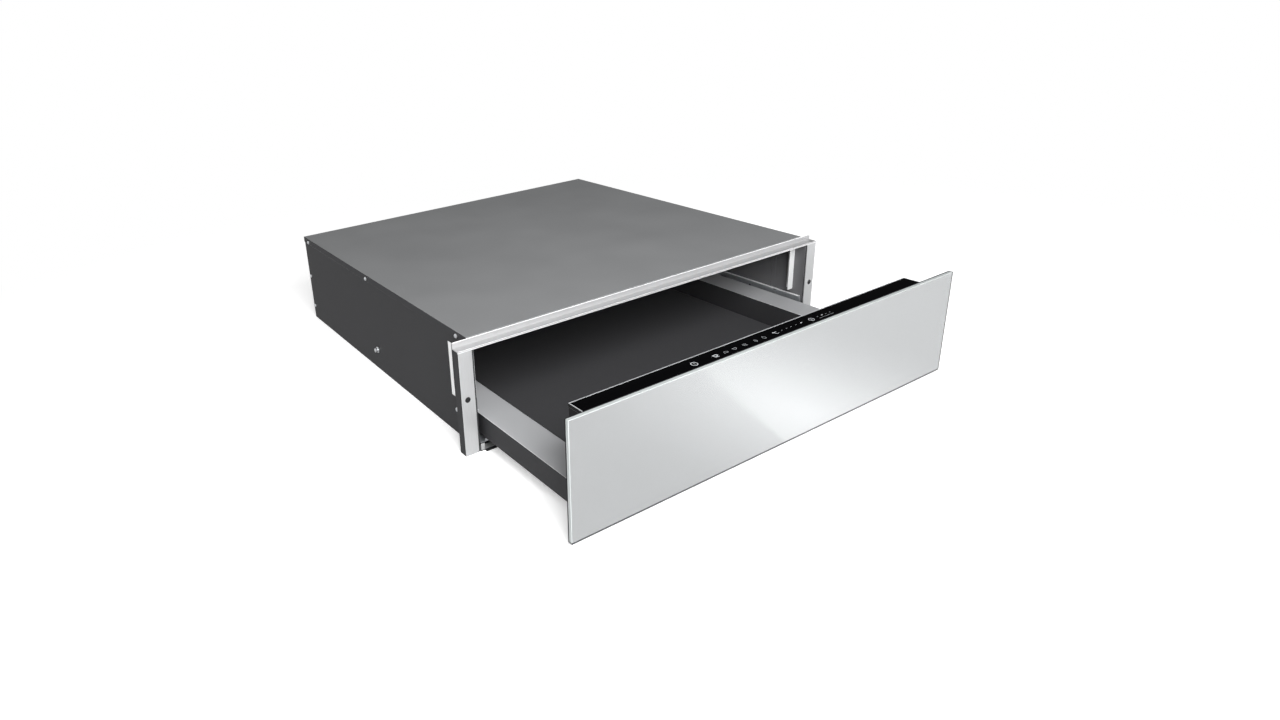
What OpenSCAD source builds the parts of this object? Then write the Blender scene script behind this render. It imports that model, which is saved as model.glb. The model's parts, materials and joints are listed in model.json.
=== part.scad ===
// Built-in warming drawer, drawn with the drawer pulled part of the way out.
// X runs to the right, Y runs back into the cabinet and Z is up. The origin is the
// middle of the underside, in the plane where the front frame meets the cabinet.

/* [Case] */
// Width over the folded lips of the top panel
case_w = 558.4; // [550:0.4:564]
// Height from the shelf to the top of the case
case_h = 140; // [138:1:150]
// Depth behind the face of the cabinet
case_d = 522; // [500:2:560]
// Thickness of the painted sheet
case_sheet = 0.8; // [0.6:0.1:1]
// Height of the lips that the top panel folds over the sides
lip_h = 9; // [8:0.5:11]
// Depth of the service space behind the heated cavity
rear_space = 62; // [62:1:80]
// Height of the insulation over the cavity
mat_t = 9.8; // [8:0.1:10]
// How far the floor of the case reaches past the front frame
floor_lip = 4.5; // [2:0.5:6]

/* [Side details] */
// Width of the slot in each side
slot_w = 8; // [6:0.5:12]
// Height of the slot
slot_h = 70; // [50:1:74]
// Height of the lower end of the slot
slot_z = 50.5; // [46:0.5:56]
// Distance from the cabinet face to the slot
slot_y = 38; // [34:0.5:60]
// Distance from the cabinet face to the shoulder stud of the runner
stud_y = 263.5; // [200:0.5:300]
// Height of the shoulder stud
stud_z = 31; // [24:0.5:36]
// Distance from the cabinet face to the front screw of the runner
runner_screw_y = 36; // [30:0.5:60]
// Height of the front screw of the runner
runner_screw_z = 34; // [24:0.5:38]
// Height of the screws in the lips
lip_screw_z = 134.4; // [134:0.1:134.8]
// Diameter of a screw head
head_d = 5.5; // [4.5:0.1:6.5]
// Diameter of a screw shank
shank_d = 3; // [2.5:0.1:3.5]
// Height of the guide plates behind the frame
guide_h = 65; // [40:1:68]
// Gap between a guide plate and the control housing
guide_play = 1.5; // [1:0.1:3]

/* [Front frame] */
// Width over the two stiles
frame_w = 595.5; // [590:0.5:596]
// Distance from the face of the frame to the face of the cabinet
frame_reach = 13; // [10:0.5:16]
// Width of the face of a stile
stile_w = 17.8; // [17:0.1:18]
// Thickness of the stainless steel
frame_sheet = 1.2; // [1:0.1:1.5]
// Distance from the top of the case down to the ledge of the top rail
ledge_drop = 7.8; // [7:0.1:9]
// Height of the small front lip of the top rail
rail_lip_h = 2.5; // [2:0.1:3.5]
// Distance from the top of the case down to the top of the rail
upstand_drop = 1; // [0.5:0.1:2]
// Diameter of the fixing holes
fix_hole_d = 7; // [5:0.5:8]
// Distance from the outer edge of a stile to its fixing hole
fix_hole_inset = 8; // [7:0.1:9]
// Height of the fixing holes
fix_hole_z = 71; // [60:1:90]

/* [Front panel] */
// Width of the front glass
panel_w = 597; // [592:1:600]
// Height of the front glass
panel_h = 135; // [132:0.5:137]
// Thickness of the front glass
panel_t = 6; // [4:0.5:8]
// Height of the lower edge of the front glass
panel_z = 2.9; // [2:0.1:4]
// Gap between the glass and the frame when the drawer is shut
panel_gap = 3.1; // [3:0.1:5]

/* [Drawer] */
// How far the drawer is drawn out
open_by = 192; // [188:1:196]
// How far the drawer can travel in all
full_travel = 440; // [420:1:450]
// Height of the underside of the drawer
drawer_z = 9.6; // [9.4:0.1:11]
// Height from the underside of the drawer to its side flanges
drawer_h = 34.8; // [34:0.2:38]
// Thickness of the drawer's sheet
drawer_sheet = 1; // [0.8:0.1:1.2]
// Gap between the drawer and the inside of the case, on each side
side_gap = 6; // [5.6:0.1:8]
// Width of a side flange
flange_w = 39.6; // [38:0.2:46]
// Height of the skirt that hangs from a side flange
skirt_h = 28.2; // [20:0.2:29]
// Thickness of the mat in the drawer
mat_sheet = 1.2; // [0.8:0.1:2]

/* [Controls] */
// Depth of the control housing behind the panel
housing_d = 37.8; // [36:0.1:40]
// Distance from the edge of a flange to the end of the housing
housing_step = 5.6; // [3:0.1:8]
// Distance from the top of the panel down to the control glass
control_drop = 11.9; // [11:0.1:14]
// Thickness of the control glass
control_glass_t = 3; // [2.5:0.1:4]
// Thickness of the bright trim round the control glass
trim_t = 1.2; // [1:0.1:1.6]
// Wall of the control housing
housing_wall = 2; // [1.5:0.1:2.5]

/* [Runners] */
// Thickness of the sliding part of a runner
runner_t = 11.6; // [11.4:0.1:13]
// Height of the ball races
race_h = 31; // [29:0.5:31]
// Height of the upper edge of the plate that holds a fixed rail
runner_top = 51.4; // [50:0.2:54]
// Thickness of the runner's steel
runner_sheet = 1; // [0.9:0.05:1.1]
// Diameter of the balls
ball_d = 2.4; // [2.2:0.1:2.6]
// Distance from the face of the frame to the fixed rails
runner_setback = 4.5; // [3:0.5:6]
// Length of the outer ball cages
outer_cage_l = 200; // [150:1:206]
// Length of the inner ball cages
inner_cage_l = 157; // [120:1:160]

/* [Heating] */
// Radius of the fan wheel
wheel_r = 33; // [30:0.5:33.4]
// Number of blades on the fan wheel
blades = 16; // [10:1:20]
// Diameter of the fan shaft
shaft_d = 4.8; // [4:0.2:6]
// Radius of the ring heater, to the middle of its tube
ring_r = 38; // [37:0.5:39]
// Diameter of the heater tube
ring_d = 6; // [5:0.2:6.4]
// Half width of the air duct
duct_x = 150; // [120:1:170]

/* [Latch and electrics] */
// Travel of the latch plunger
latch_travel = 5; // [3:0.5:6]
// Diameter of the latch plunger
plunger_d = 10; // [8:0.5:12]
// Diameter of the passage for the mains cable
cable_d = 9; // [7:0.5:11]

/* [Hidden] */
$fn = 48;

// Clearance of a piece that is seated without touching
seat = 0.3;
// Overrun of every cut
over = 0.5;
// Clearance of a screw in its hole, on the diameter
hole_play = 0.3;
// Clearance of a turning or sliding fit, on the diameter
fit_play = 0.1;

// Small sizes of the case
floor_lip_inset = 5.2;
back_fold = 12;
back_screw_inset = 6.5;
back_screw_low = 22;
back_screw_high = 74;
lip_screw_front = 23;
lip_screw_rear = 20;
lip_screw_mid_share = 0.529;
vent_l = 40;
vent_w = 4;
vent_pitch = 9;
vent_x = 70;
vents = 7;
sill_setback = 8;
sill_drop = 1;
sill_reach = 8;
strip_proud = 0.4;
guide_y = 6;
guide_z = 58.6;
guide_foot = 10;
ceiling_setback = 2;
mat_side = 8;
mat_front = 12;

// Case, half widths and levels
case_x = case_w / 2;
side_out = case_x - case_sheet;
side_in = side_out - case_sheet;
roof_z = case_h - case_sheet;
ceiling_z = roof_z - mat_t - case_sheet;
wall_y = case_d - rear_space;
wall_back = wall_y + case_sheet;
back_in = case_d - case_sheet;
lip_z = case_h - lip_h;

// Front frame
frame_x = frame_w / 2;
frame_y = -frame_reach;
stile_in = frame_x - stile_w;
frame_back = frame_y + frame_sheet;
ledge_z = case_h - ledge_drop;
ledge_under = ledge_z - frame_sheet;
rail_low = ledge_z - rail_lip_h;
rail_top = case_h - upstand_drop;
fix_x = frame_x - fix_hole_inset;

// Drawer, drawn out by open_by
panel_x = panel_w / 2;
panel_top = panel_z + panel_h;
panel_back = frame_y - panel_gap - open_by;
panel_front = panel_back - panel_t;
plate_t = 1.2;
plate_back = panel_back + plate_t;
plate_inset = 3;
flange_x = side_in - side_gap;
well_x = flange_x - flange_w;
housing_x = flange_x - housing_step;
flange_z = drawer_z + drawer_h;
flange_under = flange_z - drawer_sheet;
floor_top = drawer_z + drawer_sheet;
housing_back = panel_back + housing_d;
rear_gap = 5;
drawer_back = wall_y - rear_gap - open_by;
control_z = panel_top - control_drop;
glass_under = control_z - control_glass_t;
trim_ledge = 1;
rim_z = glass_under - trim_ledge;
trim_proud = 0.3;

// Runners: X faces from the fixed rail inwards, Z faces from the middle of the race
cage_sheet = 0.3;
slide_in = well_x + drawer_sheet;
slide_out = slide_in + runner_t;
web_x = slide_out - runner_sheet;
outer_cage_x = web_x - seat - cage_sheet;
mid_x = outer_cage_x - seat;
mid_web_x = mid_x - runner_sheet;
inner_cage_x = mid_web_x - seat - cage_sheet;
inner_tip_x = inner_cage_x - seat;
tip_step = 1.4;
mid_tip_x = slide_in + runner_sheet + tip_step;
outer_tip_x = mid_tip_x + runner_sheet;
race_play = 0.4;
race_mid = flange_under - race_play - race_h / 2;
outer_face = race_h / 2;
ball_space = ball_d + 2 * seat;
mid_face = outer_face - runner_sheet - ball_space;
inner_face = mid_face - runner_sheet - ball_space;
outer_ball_z = mid_face + seat + ball_d / 2;
inner_ball_z = inner_face + seat + ball_d / 2;
outer_ball_x = (outer_tip_x + mid_x) / 2;
inner_ball_x = (mid_tip_x + inner_tip_x) / 2;
race_lip = 0.8;
runner_y = frame_y + runner_setback;
runner_rear_gap = 17.5;
runner_end = wall_y - runner_rear_gap;
mid_setback = 51.5;
mid_rear_gap = 9.5;
mid_y = runner_y + mid_setback - open_by / 2;
mid_end = runner_end - mid_rear_gap - open_by / 2;
inner_lead = 8;
inner_rear_gap = 25;
inner_y = panel_back + inner_lead;
inner_end = drawer_back - inner_rear_gap;
cage_lead = 8.5;
outer_cage_y = runner_y + cage_lead + full_travel / 4 - open_by / 4;
inner_cage_lead = 5;
inner_cage_y = runner_y + mid_setback + inner_cage_lead + full_travel / 4 - open_by * 3 / 4;
balls = 7;
cage_pad = 2.4;
shelf_gap = 4.4;
shelf_z = race_mid - outer_face - shelf_gap;
hook_w = 9;
hook_h = 3.8;
hook_inset = 7;
top_fold = 2.3;

// Screws and studs
head_h = 2;
dome_share = 0.62;
shoulder_d = 9;
shoulder_h = 1.5;
stud_body_d = 6;
stud_body_h = 3.5;
runner_screw_d = 4;
lip_screw_ys = [lip_screw_front, case_d * lip_screw_mid_share, case_d - lip_screw_rear];
back_screw_zs = [back_screw_low, back_screw_high];
slide_screw_lead = 20;
slide_screw_head_h = 1.2;
slide_screw_head_d = 6;

// Front panel and controls
buffer_d = 8;
buffer_inset = 8.85;
buffer_low = 15;
buffer_high = 115;
bracket_t = 1.5;
bracket_l = 26;
bracket_gap = 1.4;
trim_ledge_w = 2;
board_half = 150;
board_edge = 4;
pcb_t = 1.6;
pad_d = 8;
pad_h = 3;
pads = 10;

// Push latch
latch_w = 16;
latch_h = 35.2;
latch_setback = 20;
latch_l = 32;
latch_ear_x = 24;
latch_ear_h = 3;
latch_axis_z = 24.2;
latch_y = wall_y + latch_setback;
striker_l = 12;
striker_w = 8;
striker_h = 5;
striker_foot_t = 1.5;
plunger_y = drawer_back + open_by + striker_l + seat;
plunger_nose_l = 3;
plunger_room = 0.75;
bore_l = 26;
spring_wire = 1;
spring_r = 3.2;
spring_turns = 4;
spring_pitch = 1.7;
spring_l = spring_turns * spring_pitch + spring_wire;
spring_y = latch_y + bore_l - spring_l - seat / 2;
plunger_end = spring_y - latch_travel - plunger_room;

// Duct, fan and heater
duct_gap = 3.6;
duct_head = 2.5;
duct_depth = 26;
duct_edge = 10;
duct_low = latch_h + duct_gap;
duct_top = ceiling_z - duct_head;
duct_back = wall_back + duct_depth;
fan_z = (duct_low + duct_top) / 2;
wheel_gap = 5;
wheel_front = wall_back + wheel_gap;
wheel_w = 15;
wheel_back = wheel_front + wheel_w;
blade_t = 1;
blade_share = 0.6;
hub_d = 13;
hub_setback = 4;
shaft_room = 2;
shaft_short = 1;
motor_gap = 5;
motor_front = duct_back + motor_gap;
stack_l = 14;
stack_x = 25;
stack_z = 20;
stack_back = motor_front + stack_l;
bearing_l = 6;
bearing_nose = 3;
bearing_d = 14;
post_d = 5;
post_inset = 4;
coil_w = 14;
coil_h = 18;
coil_over = 2;
ring_setback = 8;
ring_y = wheel_front + ring_setback;
tail_x = 8;
tail_d = 4.4;
tail_l = 26;
tail_room = 1;
spade_w = 4;
spade_t = 0.8;
spade_l = 6;
grille_r = 27;
grille_pitch = 9;
grille_slot = 4.5;
outlet_x = 95;
outlet_pitch = 9;
outlet_slots = 5;
outlet_h = 50;
notch_x = 14;
notch_play = 3;
cutout_x = 100;
cutout_d = 16;
cutout_h = 9;
cutout_ear_x = 12;
cutout_ear_z = 4;
sensor_x = 200;
sensor_z = 96;
sensor_d = 5;
sensor_reach = 12;
sensor_nut_d = 11;
sensor_nut_t = 3;

// Mains side
gland_x = 200;
gland_z = 40;
gland_body_d = 20;
gland_flange_d = 26;
gland_flange_t = 2.5;
gland_l = 26;
gland_nut_d = 27;
gland_nut_t = 5;
terminal_x = 175;
terminal_w = 50;
terminal_setback = 20;
terminal_d = 20;
terminal_h = 12;
pole_edge = 2;
pole_h = 10;
poles = 3;
board_x = -250;
board_w = 100;
board_l = 46;
board_setback = 6;
board_y = wall_back + board_setback;
board_t = 1.6;
standoff_h = 7;
standoff_inset = 4;
part_h = 24;
capacitor_d = 10;
capacitor_h = 16;
loom_d = 5;
loom_setback = 16;
loom_start_share = 0.8;
riser_xs = [60, 110];

// A block between two opposite corners
module block(a, b) {
    translate(a) cube(b - a);
}

// The same shape on the left and on the right
module both_sides() {
    children();
    mirror([1, 0, 0]) children();
}

// A round bar along X
module bar_x(y, z, x0, x1, d) {
    translate([x0, y, z]) rotate([0, 90, 0]) cylinder(h = x1 - x0, d = d);
}

// A round bar along Y
module bar_y(x, z, y0, y1, d) {
    translate([x, y0, z]) rotate([-90, 0, 0]) cylinder(h = y1 - y0, d = d);
}

// A round bar along Z
module bar_z(x, y, z0, z1, d) {
    translate([x, y, z0]) cylinder(h = z1 - z0, d = d);
}

// A pan head that stands out from a face at x, towards +X
module pan_head_x(y, z, x, d, h) {
    translate([x, y, z]) rotate([0, 90, 0]) {
        cylinder(h = h / 2, d = d);
        translate([0, 0, h / 2]) cylinder(h = h / 2, d1 = d, d2 = d * dome_share);
    }
}

// Top panel with its lips over the sides and a fold behind the rail
module top_panel() {
    fold_low = ceiling_z + case_sheet;
    color("gray") difference() {
        union() {
            block([-case_x, 0, roof_z], [case_x, case_d, case_h]);
            both_sides() block([side_out, 0, lip_z], [case_x, case_d, roof_z]);
            block([-side_in + seat, 0, fold_low], [side_in - seat, case_sheet, roof_z]);
        }
        both_sides() for (y = lip_screw_ys)
            bar_x(y, lip_screw_z, side_out - over, case_x + over, shank_d + hole_play);
    }
}

// Right side with the fold that backs the stile
module side_panel() {
    fold_x = frame_x - frame_sheet - seat;
    difference() {
        union() {
            block([side_in, 0, 0], [side_out, case_d, roof_z]);
            block([side_in, frame_back, 0], [side_out, 0, ledge_under]);
            block([side_in, frame_back, 0], [fold_x, frame_back + case_sheet, ledge_under]);
        }
        block([side_in - over, slot_y, slot_z], [side_out + over, slot_y + slot_w, slot_z + slot_h]);
        bar_y(fix_x, fix_hole_z, frame_back - over, frame_back + case_sheet + over, fix_hole_d);
        for (y = lip_screw_ys)
            bar_x(y, lip_screw_z, side_in - over, side_out + over, shank_d + hole_play);
        for (z = back_screw_zs)
            bar_x(case_d - back_screw_inset, z, side_in - over, side_out + over, shank_d + hole_play);
        bar_x(stud_y, stud_z, side_in - over, side_out + over, runner_screw_d + hole_play);
        bar_x(runner_screw_y, runner_screw_z, side_in - over, side_out + over,
            runner_screw_d + hole_play);
    }
}

module side_panel_right() {
    color("dimgray") side_panel();
}

module side_panel_left() {
    color("dimgray") mirror([1, 0, 0]) side_panel();
}

// Floor of the case, with a lip that shows under the front panel
module bottom_panel() {
    lip_x = side_in - floor_lip_inset;
    color("dimgray") {
        block([-side_in, frame_y, 0], [side_in, back_in, case_sheet]);
        block([-lip_x, frame_y - floor_lip, 0], [lip_x, frame_y, case_sheet]);
    }
}

// Rear panel with air slots, the cable hole and folds inside the sides
module back_panel() {
    fold_y = back_in - back_fold;
    color("dimgray") difference() {
        union() {
            block([-side_in, back_in, 0], [side_in, case_d, roof_z]);
            both_sides() block([side_in - case_sheet, fold_y, case_sheet + seat],
                [side_in, back_in, roof_z - seat]);
        }
        both_sides() for (i = [0 : vents - 1])
            block([vent_x + i * vent_pitch, back_in - over, fan_z - vent_l / 2],
                [vent_x + i * vent_pitch + vent_w, case_d + over, fan_z + vent_l / 2]);
        bar_y(gland_x, gland_z, back_in - over, case_d + over, gland_body_d + hole_play);
        both_sides() for (z = back_screw_zs)
            bar_x(case_d - back_screw_inset, z, side_in - case_sheet - over, side_in + over,
                shank_d + hole_play);
    }
}

// Right stile: a face with its fixing hole and a return to the cabinet
module frame_stile() {
    difference() {
        union() {
            block([stile_in, frame_y, 0], [frame_x, frame_back, rail_low]);
            block([frame_x - frame_sheet, frame_back, 0], [frame_x, 0, ledge_under]);
        }
        bar_y(fix_x, fix_hole_z, frame_y - over, frame_back + over, fix_hole_d);
    }
}

module frame_stile_right() {
    color("lightgray") frame_stile();
}

module frame_stile_left() {
    color("lightgray") mirror([1, 0, 0]) frame_stile();
}

// Stepped rail over the opening: a front lip, a ledge and an upstand
module frame_top_rail() {
    profile = [[frame_y, rail_low], [frame_back, rail_low], [frame_back, ledge_under],
        [0, ledge_under], [0, rail_top], [-frame_sheet, rail_top], [-frame_sheet, ledge_z],
        [frame_y, ledge_z]];
    color("whitesmoke") translate([-frame_x, 0, 0]) rotate([90, 0, 90])
        linear_extrude(frame_w) polygon(profile);
}

// Stiffener along the front edge of the floor, with a tab at each end
module front_sill() {
    sill_x = well_x + sill_reach;
    tab_x = side_in - floor_lip_inset;
    web_y = frame_y + sill_setback;
    color("silver") {
        block([-side_in + seat, frame_y, case_sheet],
            [side_in - seat, web_y + case_sheet, 2 * case_sheet]);
        block([-sill_x, web_y, case_sheet], [sill_x, web_y + case_sheet, drawer_z - sill_drop]);
        both_sides() block([tab_x, frame_y, case_sheet],
            [side_in - seat, frame_y + case_sheet, drawer_z - seat]);
    }
}

// Bright strip that fills the slot in the right side
module side_strip() {
    block([side_in, slot_y + seat, slot_z + seat],
        [side_out + strip_proud, slot_y + slot_w - seat, slot_z + slot_h - seat]);
}

module side_strip_right() {
    color("white") side_strip();
}

module side_strip_left() {
    color("white") mirror([1, 0, 0]) side_strip();
}

// Angle inside the right side that centres the front as the drawer shuts
module guide_plate() {
    block([housing_x + guide_play, guide_y, guide_z],
        [side_in, guide_y + frame_sheet, guide_z + guide_h]);
    block([side_in - frame_sheet, guide_y + frame_sheet, guide_z],
        [side_in, guide_y + guide_foot, guide_z + guide_h]);
}

module guide_plate_right() {
    color("gainsboro") guide_plate();
}

module guide_plate_left() {
    color("gainsboro") mirror([1, 0, 0]) guide_plate();
}

// Screws in the lips and at the rear edge of both sides
module case_screws() {
    color("silver") both_sides() {
        for (y = lip_screw_ys) {
            pan_head_x(y, lip_screw_z, case_x, head_d, head_h);
            bar_x(y, lip_screw_z, side_in, case_x, shank_d);
        }
        for (z = back_screw_zs) {
            pan_head_x(case_d - back_screw_inset, z, side_out, head_d, head_h);
            bar_x(case_d - back_screw_inset, z, side_in - case_sheet, side_out, shank_d);
        }
    }
}

// Shoulder stud and front screw that hold each fixed rail to its side
module runner_studs() {
    stud_tip = side_out + shoulder_h + stud_body_h;
    plate_x = side_in - runner_sheet;
    color("silver") both_sides() {
        bar_x(stud_y, stud_z, side_out, side_out + shoulder_h, shoulder_d);
        bar_x(stud_y, stud_z, side_out + shoulder_h, stud_tip, stud_body_d);
        bar_x(stud_y, stud_z, plate_x, side_out, runner_screw_d);
        pan_head_x(runner_screw_y, runner_screw_z, side_out, head_d, head_h);
        bar_x(runner_screw_y, runner_screw_z, plate_x, side_out, runner_screw_d);
    }
}

// Upper and lower flange of a runner, between two X faces
module race_pair(x0, x1, y0, y1, face) {
    block([x0, y0, race_mid + face - runner_sheet], [x1, y1, race_mid + face]);
    block([x0, y0, race_mid - face], [x1, y1, race_mid - face + runner_sheet]);
}

// Fixed rail of the right runner: a plate on the case, a shelf under the skirt, the race
module runner_outer() {
    plate_x = side_in - runner_sheet;
    lip_face = outer_face - runner_sheet;
    hook_x = flange_x - hook_inset;
    difference() {
        union() {
            block([plate_x, runner_y, shelf_z], [side_in, runner_end, runner_top]);
            block([plate_x - top_fold, runner_y, runner_top - runner_sheet],
                [plate_x, runner_end, runner_top]);
            block([web_x, runner_y, shelf_z], [plate_x, runner_end, shelf_z + runner_sheet]);
            block([web_x, runner_y, shelf_z], [slide_out, runner_end, race_mid + outer_face]);
            race_pair(outer_tip_x, web_x, runner_y, runner_end, outer_face);
            block([outer_tip_x, runner_y, race_mid + lip_face - race_lip],
                [outer_tip_x + race_lip, runner_end, race_mid + lip_face]);
            block([outer_tip_x, runner_y, race_mid - lip_face],
                [outer_tip_x + race_lip, runner_end, race_mid - lip_face + race_lip]);
            block([hook_x - hook_w / 2, runner_y, shelf_z],
                [hook_x + hook_w / 2, runner_y + runner_sheet, shelf_z + hook_h]);
        }
        bar_x(stud_y, stud_z, plate_x - over, side_in + over, runner_screw_d + hole_play);
        bar_x(runner_screw_y, runner_screw_z, plate_x - over, side_in + over,
            runner_screw_d + hole_play);
    }
}

module runner_outer_right() {
    color("slategray") runner_outer();
}

module runner_outer_left() {
    color("slategray") mirror([1, 0, 0]) runner_outer();
}

// Middle rail of the right runner
module runner_mid() {
    lip_face = mid_face - runner_sheet;
    block([mid_web_x, mid_y, race_mid - mid_face], [mid_x, mid_end, race_mid + mid_face]);
    race_pair(mid_tip_x, mid_web_x, mid_y, mid_end, mid_face);
    block([mid_tip_x, mid_y, race_mid + lip_face - race_lip],
        [mid_tip_x + race_lip, mid_end, race_mid + lip_face]);
    block([mid_tip_x, mid_y, race_mid - lip_face],
        [mid_tip_x + race_lip, mid_end, race_mid - lip_face + race_lip]);
}

module runner_mid_right() {
    color("darkgray") runner_mid();
}

module runner_mid_left() {
    color("darkgray") mirror([1, 0, 0]) runner_mid();
}

// Places of the screws that hold an inner rail to the drawer
function slide_screw_ys() = [inner_y + slide_screw_lead, (inner_y + inner_end) / 2,
    inner_end - slide_screw_lead];

// Inner rail of the right runner, fixed to the drawer
module runner_inner() {
    difference() {
        union() {
            block([slide_in, inner_y, race_mid - inner_face],
                [slide_in + runner_sheet, inner_end, race_mid + inner_face]);
            race_pair(slide_in, inner_tip_x, inner_y, inner_end, inner_face);
        }
        for (y = slide_screw_ys())
            bar_x(y, race_mid, slide_in - over, slide_in + runner_sheet + over,
                shank_d + hole_play);
    }
}

module runner_inner_right() {
    color("darkgray") runner_inner();
}

module runner_inner_left() {
    color("darkgray") mirror([1, 0, 0]) runner_inner();
}

// Ball cage: a thin channel at web_at with two rows of balls
module ball_cage(web_at, ball_x, ball_z, y0, len) {
    pitch = (len - ball_d - 2 * cage_pad) / (balls - 1);
    block([web_at, y0, race_mid - ball_z - cage_sheet],
        [web_at + cage_sheet, y0 + len, race_mid + ball_z + cage_sheet]);
    for (s = [-1, 1]) {
        block([ball_x - ball_d / 2 - cage_sheet, y0, race_mid + s * ball_z - cage_sheet],
            [web_at + cage_sheet, y0 + len, race_mid + s * ball_z + cage_sheet]);
        for (i = [0 : balls - 1])
            translate([ball_x, y0 + cage_pad + ball_d / 2 + i * pitch, race_mid + s * ball_z])
                sphere(d = ball_d, $fn = 24);
    }
}

module outer_cage_right() {
    color("gold") ball_cage(outer_cage_x, outer_ball_x, outer_ball_z, outer_cage_y, outer_cage_l);
}

module outer_cage_left() {
    color("gold") mirror([1, 0, 0])
        ball_cage(outer_cage_x, outer_ball_x, outer_ball_z, outer_cage_y, outer_cage_l);
}

module inner_cage_right() {
    color("gold") ball_cage(inner_cage_x, inner_ball_x, inner_ball_z, inner_cage_y, inner_cage_l);
}

module inner_cage_left() {
    color("gold") mirror([1, 0, 0])
        ball_cage(inner_cage_x, inner_ball_x, inner_ball_z, inner_cage_y, inner_cage_l);
}

// Ceiling of the heated cavity, hung from the top panel by its folds
module cavity_ceiling() {
    edge_x = side_in - seat;
    color("darkgray") {
        block([-edge_x, ceiling_setback, ceiling_z], [edge_x, wall_y, ceiling_z + case_sheet]);
        both_sides() block([edge_x - case_sheet, ceiling_setback, ceiling_z + case_sheet],
            [edge_x, wall_y, roof_z]);
    }
}

// Mineral wool between the ceiling and the top panel
module insulation_mat() {
    mat_x = side_in - mat_side;
    color("khaki") block([-mat_x, mat_front, ceiling_z + case_sheet],
        [mat_x, wall_y - seat, roof_z]);
}

// Rear wall of the cavity with the air intake, the outlets and the latch notch
module cavity_rear_wall() {
    edge_x = side_in - seat;
    sensor_hole = sensor_d + 2 * seat;
    color("darkgray") difference() {
        block([-edge_x, wall_y, case_sheet], [edge_x, wall_back, ceiling_z + case_sheet]);
        for (i = [-2 : 2])
            let (x = i * grille_pitch, half = grille_r - abs(i) * grille_slot)
            block([x - grille_slot / 2, wall_y - over, fan_z - half],
                [x + grille_slot / 2, wall_back + over, fan_z + half]);
        both_sides() for (i = [0 : outlet_slots - 1])
            block([outlet_x + i * outlet_pitch, wall_y - over, fan_z - outlet_h / 2],
                [outlet_x + i * outlet_pitch + grille_slot, wall_back + over,
                    fan_z + outlet_h / 2]);
        block([-notch_x, wall_y - over, 0],
            [notch_x, wall_back + over, latch_axis_z + striker_h + notch_play]);
        bar_y(sensor_x, sensor_z, wall_y - over, wall_back + over, sensor_hole);
    }
}

// Air duct behind the rear wall, which holds the wheel and the heater
module fan_housing() {
    shaft_hole = shaft_d + shaft_room;
    tail_hole = tail_d + tail_room;
    color("silver") difference() {
        union() {
            block([-duct_x, wall_back, duct_low], [duct_x, duct_back, duct_top]);
            block([-duct_x - duct_edge, wall_back, duct_low],
                [duct_x + duct_edge, wall_back + case_sheet, duct_top]);
        }
        block([-duct_x + case_sheet, wall_back - over, duct_low + case_sheet],
            [duct_x - case_sheet, duct_back - case_sheet, duct_top - case_sheet]);
        bar_y(0, fan_z, duct_back - case_sheet - over, duct_back + over, shaft_hole);
        for (s = [-1, 1])
            bar_y(s * tail_x, tail_z(), duct_back - case_sheet - over, duct_back + over, tail_hole);
    }
}

// Height at which the tails leave the ring heater
function tail_z() = fan_z - sqrt(ring_r * ring_r - tail_x * tail_x);

// Ring heater round the wheel, with two tails and their spades
module heating_element() {
    color("dimgray") {
        translate([0, ring_y, fan_z]) rotate([90, 0, 0])
            rotate_extrude() translate([ring_r, 0]) circle(d = ring_d, $fn = 24);
        for (s = [-1, 1]) {
            bar_y(s * tail_x, tail_z(), ring_y, ring_y + tail_l, tail_d);
            block([s * tail_x - spade_w / 2, ring_y + tail_l, tail_z() - spade_t / 2],
                [s * tail_x + spade_w / 2, ring_y + tail_l + spade_l, tail_z() + spade_t / 2]);
        }
    }
}

// Fan wheel with its blades, hub and shaft
module fan_rotor() {
    blade_in = wheel_r * blade_share;
    hub_y = wheel_front + hub_setback;
    shaft_end = stack_back + bearing_l - shaft_short;
    color("lightsteelblue") {
        bar_y(0, fan_z, wheel_back, wheel_back + blade_t, 2 * wheel_r);
        bar_y(0, fan_z, hub_y, wheel_back + 2 * blade_t, hub_d);
        bar_y(0, fan_z, hub_y - blade_t, shaft_end, shaft_d);
        for (i = [0 : blades - 1])
            translate([0, wheel_front, fan_z]) rotate([0, i * 360 / blades, 0])
                translate([blade_in, 0, -blade_t / 2])
                    cube([wheel_r - blade_in - seat, wheel_w, blade_t]);
    }
}

// Motor on the back of the duct, with a bearing at each end of its stack
module fan_motor() {
    post_x = stack_x - post_inset;
    color("steelblue") difference() {
        union() {
            block([-stack_x, motor_front, fan_z - stack_z], [stack_x, stack_back, fan_z + stack_z]);
            bar_y(0, fan_z, motor_front - bearing_nose, stack_back + bearing_l, bearing_d);
            for (s = [-1, 1])
                bar_y(s * post_x, fan_z, duct_back, motor_front, post_d);
            block([stack_x, motor_front - coil_over, fan_z - coil_h / 2],
                [stack_x + coil_w, stack_back + coil_over, fan_z + coil_h / 2]);
        }
        bar_y(0, fan_z, motor_front - bearing_nose - over, stack_back + bearing_l + over,
            shaft_d + fit_play);
    }
}

// Safety cut-out on the back of the duct
module thermal_cutout() {
    color("saddlebrown") {
        bar_y(cutout_x, fan_z, duct_back, duct_back + cutout_h, cutout_d);
        block([cutout_x - cutout_ear_x, duct_back, fan_z - cutout_ear_z],
            [cutout_x + cutout_ear_x, duct_back + blade_t, fan_z + cutout_ear_z]);
        for (s = [-1, 1])
            block([cutout_x + s * spade_w - spade_t / 2, duct_back + cutout_h, fan_z - spade_w / 2],
                [cutout_x + s * spade_w + spade_t / 2, duct_back + cutout_h + spade_l,
                    fan_z + spade_w / 2]);
    }
}

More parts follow.
